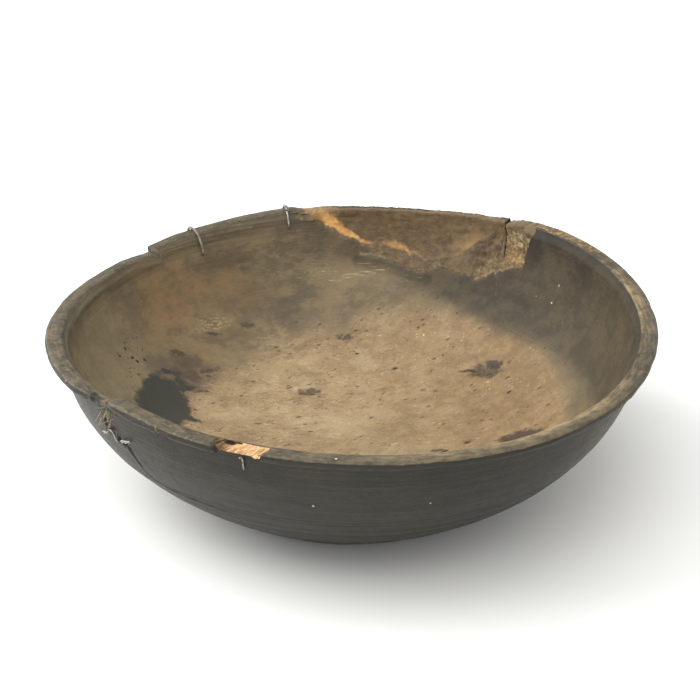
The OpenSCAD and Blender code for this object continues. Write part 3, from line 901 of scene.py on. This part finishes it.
speck_group, g, source, sink = start_group(
    "dust_specks", {"Vector": ("Vector", None), "Spacing": ("Float", 0.01), "Share": ("Float", 0.1),
                    "Size": ("Float", 0.0006)}, ["Mask"])
far, colour = g.cells(g.scaled(source["Vector"], g.math("DIVIDE", 1.0, source["Spacing"])))
near = g.math("LESS_THAN", g.times(far, source["Spacing"]), source["Size"])
g.plug(sink["Mask"],
    g.times(near, g.math("LESS_THAN", g.add("SeparateColor", "Blue", Color=colour), source["Share"])))

ring_group, g, source, sink = start_group(
    "tool_rings", {"Vector": ("Vector", None), "Height": ("Float", 0.0)}, ["Broad", "Fine"])
level = g.add("CombineXYZ", Z=g.times(source["Height"], round(bowl_h / mm)))
at_ring = g.vector("ADD", level, g.scaled(source["Vector"], 14.0))
g.plug(sink["Broad"], g.span(g.noise(g.placed(at_ring, (1.6, 1.6, 4.0)), 2, 0.5), 0.35, 0.65))
g.plug(sink["Fine"], g.span(g.noise(g.placed(at_ring, (0.9, 0.9, 0.8)), 3, 0.6), 0.3, 0.7))
print("made", [n.name for n in bpy.data.node_groups])

# %% [markdown]
# ## The old wood
# One material covers the whole bowl, because one piece of wood runs from the dark outside over
# the rim to the scrubbed floor. It is built up the way the bowl got its colours: bare wood, then
# grain, then the brown and grey of handling, then stains, pits and scratches, and last the fresh
# wood in the breaks and the dark of the cracks.

# %% Material: colour of the inside
wood = bpy.data.materials.new("old_bowl_wood")
wood.use_nodes = True
g = Graph(wood.node_tree)
shader = wood.node_tree.nodes["Principled BSDF"]
here = g.coordinates()
streaks, fibres_mask, flecks = g.group(grain_group, ["Streaks", "Fibres", "Flecks"], Vector=here)
height_share = g.attribute("height")
broad_rings, fine_rings = g.group(ring_group, ["Broad", "Fine"], Vector=here, Height=height_share)
cloud = g.noise(g.placed(here, (0.055, 0.04, 0.04)), 4, 0.55)
mottle = g.noise(g.placed(here, (0.0105, 0.0075, 0.0075), (0, 0, -25)), 6, 0.68)
fine_mottle = g.noise(g.placed(here, (0.0030, 0.0019, 0.0019), (0, 0, -24)), 5, 0.66)

flat = g.vector("MULTIPLY", here, (1, 1, 0))
outward = g.vector("NORMALIZE", flat)
out_and_up = g.plus(g.length(flat), g.add("SeparateXYZ", "Z", Vector=here))
mean_rim_r = 0.16


def round_bowl(along, across, detail=4):
    # noise stretched round the bowl: its cells are that long round the rim and that wide across it, in metres
    up_wall = g.add("CombineXYZ", Z=g.math("DIVIDE", out_and_up, across))
    return g.noise(g.vector("MULTIPLY_ADD", outward, (mean_rim_r / along,) * 3, up_wall), detail, 0.6)


turning = round_bowl(0.05, 0.0016)
rim_streaks = round_bowl(0.012, 0.0016, 6)


def stain(middle, size, turn=0, ragged=0.5, grain=8, soft=0.4):
    # a stain's mask; places, sizes and the grain of its edge are in millimetres, its turn in degrees
    return g.group(stain_group, "Mask", Vector=here, Middle=tuple(m * mm for m in middle),
                   Size=tuple(s * mm for s in size), Turn=-math.radians(turn), Ragged=ragged, Grain=grain * mm,
                   Soft=soft)


scrubbed = g.mix(g.span(cloud, 0.35, 0.65), paint(150, 127, 94), paint(166, 143, 108))
scrubbed = g.coats(scrubbed, [
    (g.span(mottle, 0.5, 0.74, 0, 0.45), 1, (186, 166, 134)),
    (g.span(mottle, 0.48, 0.3, 0, 0.5), 1, (120, 102, 76)),
    (g.span(fine_mottle, 0.56, 0.7, 0, 0.6), 1, (200, 180, 146)),
    (g.span(fine_mottle, 0.44, 0.3, 0, 0.6), 1, (108, 90, 66))])
worn = g.noise(g.placed(here, (0.030, 0.020, 0.020), (0, 0, -22)), 9, 0.74)
scrubbed = g.coats(scrubbed, [
    (g.span(worn, 0.52, 0.6, 0, 0.4), 1, (192, 172, 140)),
    (g.span(worn, 0.48, 0.4, 0, 0.5), 1, (116, 98, 72))])
green_grey = g.times(stain((15, 0, 14), (60, 70, 20), ragged=0.5, grain=30, soft=0.9),
    g.span(worn, 0.46, 0.58))
scrubbed = g.mix(g.times(green_grey, 0.35), scrubbed, paint(132, 125, 98))
vein = g.noise(g.placed(here, (0.034, 0.018, 0.018), (0, 0, -20)), 3, 0.55)
vein = g.span(g.math("ABSOLUTE", g.minus(vein, 0.5)), 0.014, 0.003)
vein = g.times(vein, g.span(mottle, 0.52, 0.58))
scrubbed = g.mix(g.times(vein, 0.65), scrubbed, paint(92, 75, 53))
# painted shade: the scrubbed floor is darkened towards the right
shade_to_right = g.span(g.add("SeparateXYZ", "X", Vector=here), -0.05, 0.11)
scrubbed = g.mix(g.times(shade_to_right, 0.8), scrubbed,
    g.mix(g.span(mottle, 0.4, 0.66), paint(112, 90, 60), paint(138, 114, 78)))
grit = g.noise(g.placed(here, (0.0034, 0.0015, 0.0015), (0, 0, -25)), 4, 0.66)
scrubbed = g.coats(scrubbed, [
    (g.times(g.span(grit, 0.61, 0.67), g.span(worn, 0.54, 0.47, 0, 0.85)), 1, (74, 60, 43)),
    (g.times(g.span(grit, 0.39, 0.32), g.span(worn, 0.48, 0.55, 0, 0.8)), 1, (206, 188, 154)),
    (g.span(turning, 0.56, 0.66, 0, 0.12), 1, (178, 156, 122)),
    (0.16, 1, (112, 88, 60))])
wall = g.mix(g.span(cloud, 0.36, 0.64), paint(104, 92, 71), paint(128, 112, 84))
wall = g.coats(wall, [
    (g.span(mottle, 0.36, 0.66, 0, 0.5), 1, (92, 82, 64)),
    (g.span(fine_mottle, 0.56, 0.72, 0, 0.35), 1, (142, 127, 98)),
    (g.span(fine_mottle, 0.44, 0.28, 0, 0.4), 1, (72, 63, 49)),
    (broad_rings, 0.14, (130, 116, 90)),
    (g.span(worn, 0.51, 0.58, 0, 0.45), 1, (134, 113, 80)),
    (g.span(worn, 0.49, 0.42, 0, 0.5), 1, (80, 71, 56)),
    (g.span(turning, 0.58, 0.7, 0, 0.22), 1, (150, 135, 106)),
    (g.span(turning, 0.42, 0.32, 0, 0.18), 1, (76, 66, 50)),
    # painted shade as on the floor, together with soot: the wall is darkened towards the right
    (shade_to_right, 0.6, (92, 81, 59))])
lit_left = stain((-140, 10, 62), (46, 90, 50), ragged=0.4, grain=30, soft=0.9)
wall = g.mix(g.times(lit_left, 0.5), wall, paint(140, 127, 100))
paleness = g.plus(g.attribute("pale"), g.times(g.minus(mottle, 0.5), 0.5))
paleness = g.plus(paleness, g.times(g.minus(cloud, 0.5), 0.6))
inside_colour = g.mix(g.span(paleness, 0.05, 0.95), wall, scrubbed)
warm = stain((-104, 96, 62), (74, 62, 50), ragged=0.5, grain=34, soft=0.95)
inside_colour = g.mix(g.times(warm, g.span(worn, 0.42, 0.58, 0.4, 0.8)), inside_colour, paint(137, 110, 76))
dim_left = stain((-66, 124, 50), (30, 22, 16), ragged=0.5, grain=20, soft=0.9)
inside_colour = g.mix(g.times(dim_left, 0.3), inside_colour, paint(92, 76, 54))
under_rim = g.times(g.span(height_share, 0.84, 0.96), g.span(turning, 0.35, 0.65, 0.75, 0.35))
inside_colour = g.mix(under_rim, inside_colour, paint(66, 59, 46))
sooty = g.times(g.attribute("soot"), g.span(g.plus(cloud, g.times(mottle, 0.5)), 0.5, 0.85, 1, 0.82))
soot_colour = g.mix(g.span(worn, 0.44, 0.58), paint(38, 33, 25), paint(58, 51, 38))
inside_colour = g.mix(sooty, inside_colour, soot_colour)
under_lip = g.times(g.attribute("soot"), g.span(height_share, 0.93, 0.98, 0, 0.6))
inside_colour = g.mix(under_lip, inside_colour, paint(32, 28, 19))
print("inside colour is built")

# %% Material: stains, pits and scratches of the inside
black = g.most(stain((-112, 17, 32), (17, 36, 19), -8, 0.6, 15, 0.2),
    stain((-104, 22, 25), (9, 25, 12), 10, 0.9, 8, 0.35),
    stain((-95, 13, 23), (8, 3.8, 6), -8, 1.2, 4, 0.5),
    stain((-111, 51.5, 34.5), (12, 2.8, 5), 22, 1.3, 3.4, 0.6),
    stain((-101, 44, 27.5), (10, 4, 5), 25, 1.1, 4, 0.5))
fringe = stain((-107, 24, 29), (17, 36, 22), -8, 0.8, 9, 0.7)
purple = g.most(stain((-102, 67, 33), (22, 9, 11), 4, 1.1, 10, 0.7),
    stain((-99, 54, 28), (17, 10, 10), -20, 1.1, 7, 0.7))
dark_edge = g.most(stain((-108, 70, 38), (9, 2.4, 4), 20, 1.2, 3.5, 0.5),
    stain((-92, 45, 25), (7, 1.8, 3), 30, 1.4, 3, 0.6),
    stain((-89, 66.5, 28), (9, 2.4, 4), 38, 1.1, 4, 0.6),
    stain((-87, 96, 39), (7, 1.5, 3), 20, 1.4, 3, 0.6),
    stain((-67, 110, 39), (7, 2.4, 4), 20, 1.2, 3, 0.7))
gouge = stain((83, 67, 28.5), (14, 8, 10), -26, 0.8, 4.5, 0.4)
gouge_edge = g.most(stain((89, 71, 31), (9, 3.8, 5), -26, 1.0, 3, 0.5),
    stain((72, 71, 27), (9, 2.0, 4), -10, 1.0, 3, 0.7))
near_stain = stain((98, -8, 24), (19, 6.5, 8), -2, 0.6, 5, 0.4)
small_marks = g.most(stain((-26, 61, 16), (9, 4.2, 4), 10, 1.5, 3.0, 0.6),
    stain((-4, 112, 30), (7, 3.4, 4), 6, 1.4, 2.6, 0.6), stain((50, -9, 15), (6, 2.4, 4), 0, 0.8, 4, 0.5))
inside_colour = g.coats(inside_colour, [
    (fringe, 0.55, (104, 78, 60)),
    (g.times(purple, g.span(mottle, 0.38, 0.6, 0.95, 0.6)), 1, (82, 66, 56)),
    (black, 0.95, (54, 56, 50)),
    (gouge, 0.85, g.mix(g.span(grit, 0.4, 0.6), paint(58, 48, 38), paint(90, 75, 58))),
    (gouge_edge, 0.8, (48, 41, 35)),
    (near_stain, 0.85, (56, 43, 36)),
    (dark_edge, 0.7, (62, 52, 42)),
    (small_marks, 0.8, (66, 56, 44))])

large_pits = g.group(pits_group, "Mask", Vector=here, Length=0.015, Width=0.006, Share=0.15, Fill=0.24)
small_pits = g.group(pits_group, "Mask", Vector=here, Length=0.0066, Width=0.0028, Share=0.13, Fill=0.42)
worm_place = stain((-132, 40, 47), (18, 28, 20), ragged=0.5, grain=10, soft=0.6)
worm_holes = g.times(worm_place,
    g.group(pits_group, "Mask", Vector=here, Length=0.0044, Width=0.0032, Share=0.75, Fill=0.5))
pits = g.most(large_pits, g.times(small_pits, 0.7), worm_holes)
pits_inside = g.times(pits, g.most(worm_place, g.span(g.attribute("pale"), 0.1, 0.5, 0.25, 1)))
inside_colour = g.mix(g.times(pits_inside, 0.9), inside_colour, paint(44, 34, 25))
worn_streaks = stain((2, 146, 60), (62, 16, 12), ragged=0.3, grain=20, soft=0.7)
light_lines = g.times(g.group(scratch_group, "Mask", Vector=here, Turn=0.05, Share=0.36), worn_streaks)
few_lines = g.group(scratch_group, "Mask", Vector=here, Turn=-0.5, Share=0.66)
inside_colour = g.coats(inside_colour, [
    (worn_streaks, 0.35, (142, 126, 98)),
    (g.most(light_lines, g.times(few_lines, 0.5)), 0.75, (186, 170, 136)),
    (g.span(g.plus(g.attribute("scored"), g.times(g.minus(fine_mottle, 0.5), 0.9)), 0.3, 0.8), 0.6,
        (178, 163, 130))])
chalky = g.times(stain((-91, 100, 44), (20, 9, 6), 34, 0.8, 8, 0.8), g.span(grit, 0.5, 0.6))
inside_colour = g.mix(g.times(chalky, 0.7), inside_colour, paint(184, 163, 124))
stopped = g.times(stain((117, 62, 47), (15, 46, 9), 26, 0.5, 14, 0.8),
    g.span(round_bowl(0.05, 0.002, 5), 0.42, 0.66))
inside_colour = g.mix(g.times(stopped, 0.16), inside_colour, paint(146, 131, 104))
scuffed = g.times(stain((126, 12, 41), (6, 24, 8), 0, 0.7, 8, 0.9), g.span(worn, 0.46, 0.56))
inside_colour = g.mix(g.times(scuffed, 0.22), inside_colour, paint(142, 129, 102))
print("stains, pits and scratches are in")

# %% [markdown]
# The outside never saw the scrubbing brush. It is nearly black with handling, smoke and wax, and
# greyer on the side that faces up. The tool's rings show as bands, a little lighter where hands
# have rubbed their edges.

# %% Material: colour of the outside and the rim
outside_colour = g.mix(g.span(cloud, 0.34, 0.66), paint(28, 27, 20), paint(42, 40, 30))
outside_colour = g.coats(outside_colour, [
    (broad_rings, 0.3, (58, 55, 44)),
    (fine_rings, 0.35, (22, 21, 17)),
    (streaks, 0.3, (52, 45, 34)),
    (g.span(fine_mottle, 0.56, 0.74, 0, 0.3), 1, (76, 71, 57)),
    (g.group(scratch_group, "Mask", Vector=here, Turn=0.1, Share=0.6), 0.3, (120, 116, 102)),
    (g.attribute("groove"), 0.55, (16, 15, 11)),
    (g.span(height_share, 0.55, 0.2, 0, 0.35), 1, (46, 41, 30))])
brown_right = stain((160, -50, 60), (90, 90, 70), ragged=0.4, grain=30, soft=0.9)
outside_colour = g.coats(outside_colour, [
    (brown_right, 0.8, g.mix(g.span(turning, 0.4, 0.6), paint(68, 57, 34), paint(102, 87, 54))),
    (g.span(turning, 0.58, 0.7, 0, 0.35), 1, (66, 62, 49))])

rim_colour = g.mix(g.span(mottle, 0.35, 0.66), paint(58, 52, 40), paint(94, 83, 63))
rim_colour = g.coats(rim_colour, [
    (g.span(cloud, 0.4, 0.6, 0, 0.5), 1, (70, 64, 50)),
    (g.span(rim_streaks, 0.48, 0.34, 0, 0.4), 1, (50, 45, 35)),
    (g.span(rim_streaks, 0.52, 0.66, 0, 0.4), 1, (122, 107, 80)),
    (g.span(fine_mottle, 0.52, 0.7, 0, 0.5), 1, (134, 119, 91))])
handled = g.most(stain((95, -125, 95), (135, 95, 30), ragged=0.4, grain=30, soft=0.9),
    stain((152, 14, 100), (30, 76, 24), ragged=0.4, grain=30, soft=0.8))
rim_colour = g.coats(rim_colour, [
    (handled, 0.7,
        g.mix(g.span(g.mix(0.5, rim_streaks, mottle), 0.4, 0.58), paint(104, 90, 64), paint(160, 140, 104))),
    (g.times(handled, g.attribute("outer_bead")), 0.8,
        g.mix(g.span(mottle, 0.4, 0.62), paint(56, 51, 38), paint(84, 76, 56)))])
grimy = g.times(g.attribute("soot"), g.span(rim_streaks, 0.44, 0.58, 1, 0.4))
grimy = g.times(grimy, g.minus(1.0, handled))
rim_colour = g.mix(g.times(grimy, 0.8), rim_colour, paint(50, 45, 34))

# the rim colour also paints the highlight along the bead's inner edge at the front
rim_share = g.plus(g.attribute("rim"), g.times(g.minus(fine_mottle, 0.5), 0.8))
inside_share = g.plus(g.attribute("inside"), g.times(g.minus(fine_mottle, 0.5), 0.4))
colour = g.mix(g.span(inside_share, 0.35, 0.65), outside_colour, inside_colour)
colour = g.mix(g.span(rim_share, 0.3, 0.75), colour, rim_colour)
print("outside and rim colours are built")

# %% [markdown]
# Fresh wood shows wherever the bowl has broken. The old split face has gone brown, the raw patch
# and the chip are still straw-coloured, and the torn slopes glow amber. Each soft attribute is
# roughened with fine noise before it is used as a mask.

# %% Material: broken wood and cracks
def roughened(name, amount=0.7, low=0.35, high=0.6):
    noisy = g.plus(g.attribute(name), g.times(g.minus(fine_mottle, 0.5), amount))
    return g.span(noisy, low, high)


split_colour = g.mix(streaks, paint(92, 76, 54), paint(116, 97, 70))
split_colour = g.coats(split_colour, [
    (g.span(mottle, 0.4, 0.7, 0, 0.45), 1, (84, 68, 50)),
    (g.span(fine_mottle, 0.56, 0.72, 0, 0.4), 1, (144, 124, 92)),
    (g.span(worn, 0.47, 0.4, 0, 0.55), 1, (74, 60, 43))])
tan_glow = stain((76, 136, 84), (20, 14, 14), ragged=0.8, grain=10, soft=0.8)
split_colour = g.mix(g.times(tan_glow, 0.55), split_colour, paint(146, 120, 84))
facet_colour = g.mix(g.span(mottle, 0.4, 0.6), paint(74, 60, 41), paint(104, 86, 60))
facet_colour = g.mix(g.span(grit, 0.58, 0.68, 0, 0.6), facet_colour, paint(54, 43, 30))
swirl = g.noise(g.placed(here, (0.007, 0.008, 0.005)), 5, 0.6, 1.6)
raw_colour = g.mix(g.span(swirl, 0.38, 0.62), paint(98, 82, 57), paint(150, 128, 93))
raw_colour = g.coats(raw_colour, [
    (g.span(grit, 0.5, 0.62, 0, 0.8), 1, (80, 65, 45)),
    (g.span(grit, 0.44, 0.34, 0, 0.7), 1, (182, 158, 118))])
pale_spots = stain((107, 118, 96), (8, 8, 7), ragged=1.4, grain=3, soft=0.8)
raw_colour = g.mix(g.times(pale_spots, g.span(swirl, 0.46, 0.56, 0, 0.6)), raw_colour, paint(176, 162, 132))
tan_core = stain((102, 117.5, 84), (8, 8, 9), ragged=0.8, grain=5, soft=0.6)
raw_colour = g.coats(raw_colour, [
    (g.times(tan_core, g.span(swirl, 0.4, 0.6, 0.2, 0.65)), 1, (186, 152, 104)),
    (g.span(cloud, 0.45, 0.6, 0, 0.4), 1, (112, 94, 68))])
amber_colour = g.mix(g.span(mottle, 0.36, 0.6), paint(196, 142, 82), paint(228, 180, 111))
amber_colour = g.mix(g.span(fine_mottle, 0.56, 0.7, 0, 0.6), amber_colour, paint(236, 198, 136))

across = g.times(g.attribute("chip_across"), chip_width)
down = g.attribute("chip_down")
lean = g.plus(across, g.times(down, lean_share))
fresh = g.noise(g.add("CombineXYZ", X=g.times(lean, 4.5), Y=g.times(down, 1.6)), 4, 0.6)
chip_wood = g.mix(g.span(fresh, 0.34, 0.6), paint(146, 103, 64), paint(224, 186, 136))
chip_wood = g.mix(g.span(g.plus(across, g.times(down, 2.0)), 5.4, 3.0, 0, 0.9), chip_wood,
    g.mix(g.span(fresh, 0.42, 0.62), paint(54, 43, 28), paint(138, 112, 76)))
rusty = g.times(g.times(g.span(down, 0.4, 0.75), g.span(across, 6.2, 4.2)), g.span(fresh, 0.62, 0.46))
chip_wood = g.coats(chip_wood, [
    (rusty, 0.55, (140, 84, 48)),
    # painted shade: the hollow in the chip is darkened
    (g.span(g.attribute("hollow"), 0.2, 0.6), 1, (58, 47, 32))])

colour = g.coats(colour, [
    (roughened("split_face"), 1, split_colour),
    (roughened("facet"), 1, facet_colour),
    (roughened("amber", 0.5, 0.12, 0.95), 1, amber_colour),
    (roughened("raw", 0.9, 0.35, 0.75), 1, raw_colour),
    (roughened("chip", 0.5, 0.4, 0.6), 1, chip_wood)])
specks = g.group(speck_group, "Mask", Vector=here, Spacing=0.011, Share=0.05, Size=0.0006)
speck_place = stain((124, 84, 68), (20, 24, 16), ragged=0.3, grain=10, soft=0.6)
more_specks = g.times(speck_place,
    g.group(speck_group, "Mask", Vector=here, Spacing=0.006, Share=0.4, Size=0.0006))
colour = g.mix(g.times(g.most(specks, more_specks), 0.75), colour, paint(222, 214, 196))
crack_mask = roughened("crack", 0.3, 0.35, 0.75)
colour = g.mix(g.times(crack_mask, 0.9), colour, paint(30, 24, 19))
shade = g.mix(g.times(flecks, 0.35), colour, paint(60, 50, 40))
g.plug(shader.inputs["Base Color"], shade)
print("broken wood and cracks are in")

# %% [markdown]
# The last step is how the surface feels. The outside keeps a dull waxy sheen, the scrubbed floor is
# dry, and broken wood is drier still. Fine relief comes from a bump: fibres and pores everywhere,
# pits that sink in, rings on the outside.

# %% Material: roughness and relief
roughness = g.span(inside_share, 0.35, 0.65, 0.46, 0.62)
roughness = g.plus(roughness, g.times(g.minus(mottle, 0.5), 0.25))
broken = g.most(g.attribute("raw"), g.attribute("chip"))
roughness = g.most(roughness, g.times(broken, 0.85))
g.plug(shader.inputs["Roughness"], roughness)
set_inputs(shader, Metallic=0.0, IOR=1.5, Specular_IOR_Level=0.3)

relief = g.times(fibres_mask, 0.12)
relief = g.plus(relief, g.times(streaks, 0.16))
relief = g.plus(relief, g.times(fine_mottle, 0.25))
relief = g.plus(relief, g.times(mottle, 0.35))
relief = g.minus(relief, g.times(pits_inside, 0.8))
relief = g.plus(relief, g.times(fine_rings, g.span(inside_share, 0.35, 0.65, 0.25, 0.04)))
relief = g.plus(relief, g.times(g.times(broken, fibres_mask), 0.8))
normal = g.add("Bump", Strength=0.55, Distance=0.0008, Height=relief)
g.plug(shader.inputs["Normal"], normal)
bowl_mesh.materials.clear()
bowl_mesh.materials.append(wood)
bowl = new_object("cracked_wooden_bowl", bowl_mesh)
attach(bowl, "root")
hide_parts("bowl")
print("bowl has", sum(len(f.vertices) - 2 for f in bowl_mesh.polygons), "triangles")

# %% [markdown]
# ## Wire stitches
# Somebody mended the bowl with thin iron wire. Two loops still go over the rim and through the
# wall, a stub of a third is left at the chip, and two short stitches cross the front crack. No hole
# is cut here for the wires, so they run straight into the wood where they meet it.
# Each is one smooth route through a few points, given a round section. The same curve type that
# carries a cable serves here, and it is turned into a mesh at the end.

# %% Wire routes
def warped(r, degrees, z):
    # the place in the dried bowl of a point at this radius, angle and height on the lathe
    t = math.radians(degrees)
    spring = spring_out * float(sprung(degrees) * near_rim(z, short))
    rise = float(end_rise(degrees - angle_on(front_path, (bowl_h - z) / mm)) * near_rim(z, tall))
    lift = max(0, z / bowl_h) * float(saddle * math.cos(2 * (t - saddle_dir)) + lean_x * math.cos(t)
                                      + lean_y * math.sin(t))
    out = r * (1 + oval * math.cos(2 * (t - saddle_dir))) + spring
    return Vector((out * math.cos(t), out * math.sin(t), z + lift + rise + spring))


def wire_piece(name, routes, thickness, node):
    # routes is a list of (points, closed); all of them become one smooth piece
    data = bpy.data.curves.new(name, "CURVE")
    data.dimensions = "3D"
    data.bevel_depth = thickness / 2
    data.bevel_resolution = 3
    data.use_fill_caps = True
    for route, closed in routes:
        spline = data.splines.new("NURBS")
        spline.points.add(len(route) - 1)
        for point, place in zip(spline.points, route):
            point.co = (*place, 1)
        spline.order_u = 3
        spline.use_cyclic_u = closed
        spline.use_endpoint_u = not closed
        spline.resolution_u = 8
    curve = bpy.data.objects.new(name + "_route", data)
    bpy.context.scene.collection.objects.link(curve)
    bpy.context.view_layer.update()
    mesh = bpy.data.meshes.new_from_object(curve.evaluated_get(bpy.context.evaluated_depsgraph_get()))
    bpy.data.objects.remove(curve)
    bpy.data.curves.remove(data)
    mesh.name = name
    for face in mesh.polygons:
        face.use_smooth = True
    piece = new_object(name, mesh)
    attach(piece, "root")
    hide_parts(node)
    mesh.materials.clear()
    mesh.materials.append(iron)
    print(name, len(mesh.polygons), "faces")


iron = bpy.data.materials.new("old_iron_wire")
iron.use_nodes = True
g = Graph(iron.node_tree)
shader = iron.node_tree.nodes["Principled BSDF"]
here = g.coordinates()
tarnish = g.noise(g.placed(here, (0.004, 0.004, 0.004)), 4, 0.6)
fine = g.noise(g.placed(here, (0.0009, 0.0009, 0.0009)), 3, 0.6)
metal_colour = g.mix(g.span(tarnish, 0.4, 0.62), paint(160, 155, 146), paint(118, 111, 101))
metal_colour = g.mix(g.span(fine, 0.58, 0.7, 0, 0.6), metal_colour, paint(104, 88, 70))
g.plug(shader.inputs["Base Color"], metal_colour)
g.plug(shader.inputs["Roughness"], g.span(tarnish, 0.35, 0.65, 0.34, 0.6))
g.plug(shader.inputs["Metallic"], g.span(fine, 0.5, 0.7, 0.75, 0.35))
g.plug(shader.inputs["Normal"], g.add("Bump", Strength=0.3, Distance=0.0002, Height=fine))
wire_gap = 0.45 * mm


def rim_loop(degrees, drop, thickness):
    w = thickness / 2 + wire_gap
    z = bowl_h - drop
    inner, outer = float(inside_radius(z)), float(outside_radius(z))
    inner_neck = float(inside_radius(neck_z))
    spots = [(outer + w, z + 1 * mm), (neck_r + w, neck_z - w - 1.5 * mm),
        (rim_r - 0.5 * mm, neck_z - w - 0.3 * mm), (rim_r + w, bowl_h - bead_h / 2),
        (rim_r - 0.6 * mm, bowl_h + w + 0.1 * mm), (rim_r - bead_w / 2, bowl_h + w + 0.3 * mm),
        (bead_in - 0.4 * mm, bowl_h + w * 0.6), (bead_in - 2.2 * mm - w, bowl_h - 2.5 * mm),
        (inner_neck - w - 0.6 * mm, neck_z - 1 * mm), (inner - w - 0.4 * mm, z + 2 * mm),
        (inner - w * 0.6, z + 0.1 * mm), (inner + 1 * mm, z), (outer - 0.6 * mm, z)]
    return [warped(r, degrees, h) for r, h in spots]


left_d = 1.7 * mm
middle_d = 1.3 * mm
wire_piece("rear_left_wire", [(rim_loop(128.2, 12 * mm, left_d), True)], left_d, "rear_left_stitch")

middle_dir = 105.5
knot = warped(bead_in + 1.5 * mm, middle_dir, bowl_h + 1.2 * mm)
inward = Vector((-math.cos(math.radians(middle_dir)), -math.sin(math.radians(middle_dir)), 0))
sideways = Vector((-inward.y, inward.x, 0))
upward = Vector((0, 0, 1))
twists = []
for strand in (0, math.pi):
    turns = [(k / 14, strand + k * 0.9) for k in range(15)]
    twists.append(([knot + inward * (-1.5 + 5.2 * s) * mm + upward * (0.9 - 0.4 * s) * mm
                    + (sideways * math.cos(a) + upward * math.sin(a)) * 0.62 * mm for s, a in turns], False))
wire_piece("rear_middle_wire", [(rim_loop(middle_dir, 9 * mm, middle_d), True), *twists], middle_d,
           "rear_middle_stitch")

# %% The stub at the chip and the stitches over the front crack
stub_d = 0.85 * mm
w = stub_d / 2 + wire_gap
z = bowl_h - 15 * mm
stub_spots = [(float(inside_radius(z)) + 1 * mm, z), (float(outside_radius(z)) - 0.3 * mm, z),
              (float(outside_radius(z)) + w, z + 1 * mm), (float(outside_radius(z + 6 * mm)) + w, z + 6 * mm),
              (neck_r + w, neck_z - 2.8 * mm), (neck_r + w + 1.4 * mm, neck_z - w - 0.3 * mm),
              (neck_r + w + 3 * mm, neck_z - w)]
wire_piece("front_wire_stub", [([warped(r, chip_dir - 0.3, h) for r, h in stub_spots], False)], stub_d,
           "front_stitch_stub")

sew_d = 1.3 * mm
strand_d = 0.85 * mm
strands = 2
thin = 0.4 * mm


def stitch_over(start, end):
    # two thin strands twisted round each other, from one side of the crack to the other
    routes = []
    for strand in range(strands):
        route = []
        for k in range(13):
            s = k / 12
            degrees = start[0] + (end[0] - start[0]) * s
            h = bowl_h - (start[1] + (end[1] - start[1]) * s) * mm
            off = math.sin(math.pi * s) * 0.5 * mm + sew_d / 2 + wire_gap
            a = 2 * math.pi * (strand / strands + 1.3 * s)
            route.append(warped(float(outside_radius(h)) + off + thin * math.cos(a), degrees,
                    h + thin * math.sin(a)))
        routes.append((route, False))
    return routes


# the loose curl: angle, how far below the rim, and how far out from the wall
curl_spots = [(220.9, 21.6, 1.3), (221.9, 20.7, 1.7), (222.7, 22.2, 1.6), (222.5, 24.4, 1.3),
              (222.9, 25.6, 0.9)]
curl = [warped(float(outside_radius(bowl_h - down * mm)) + out * mm, degrees, bowl_h - down * mm)
        for degrees, down, out in curl_spots]
wire_piece("crack_wire_upper", stitch_over((218.4, 24.2), (221.8, 21.4)) + [(curl, False)], strand_d,
           "crack_stitch_upper")
wire_piece("crack_wire_lower", stitch_over((224.2, 24.6), (227, 22.2)), strand_d, "crack_stitch_lower")

# %% [markdown]
# ## Finish
# The visual model must keep the size of the imported one.

# %% Finish
print("finished")
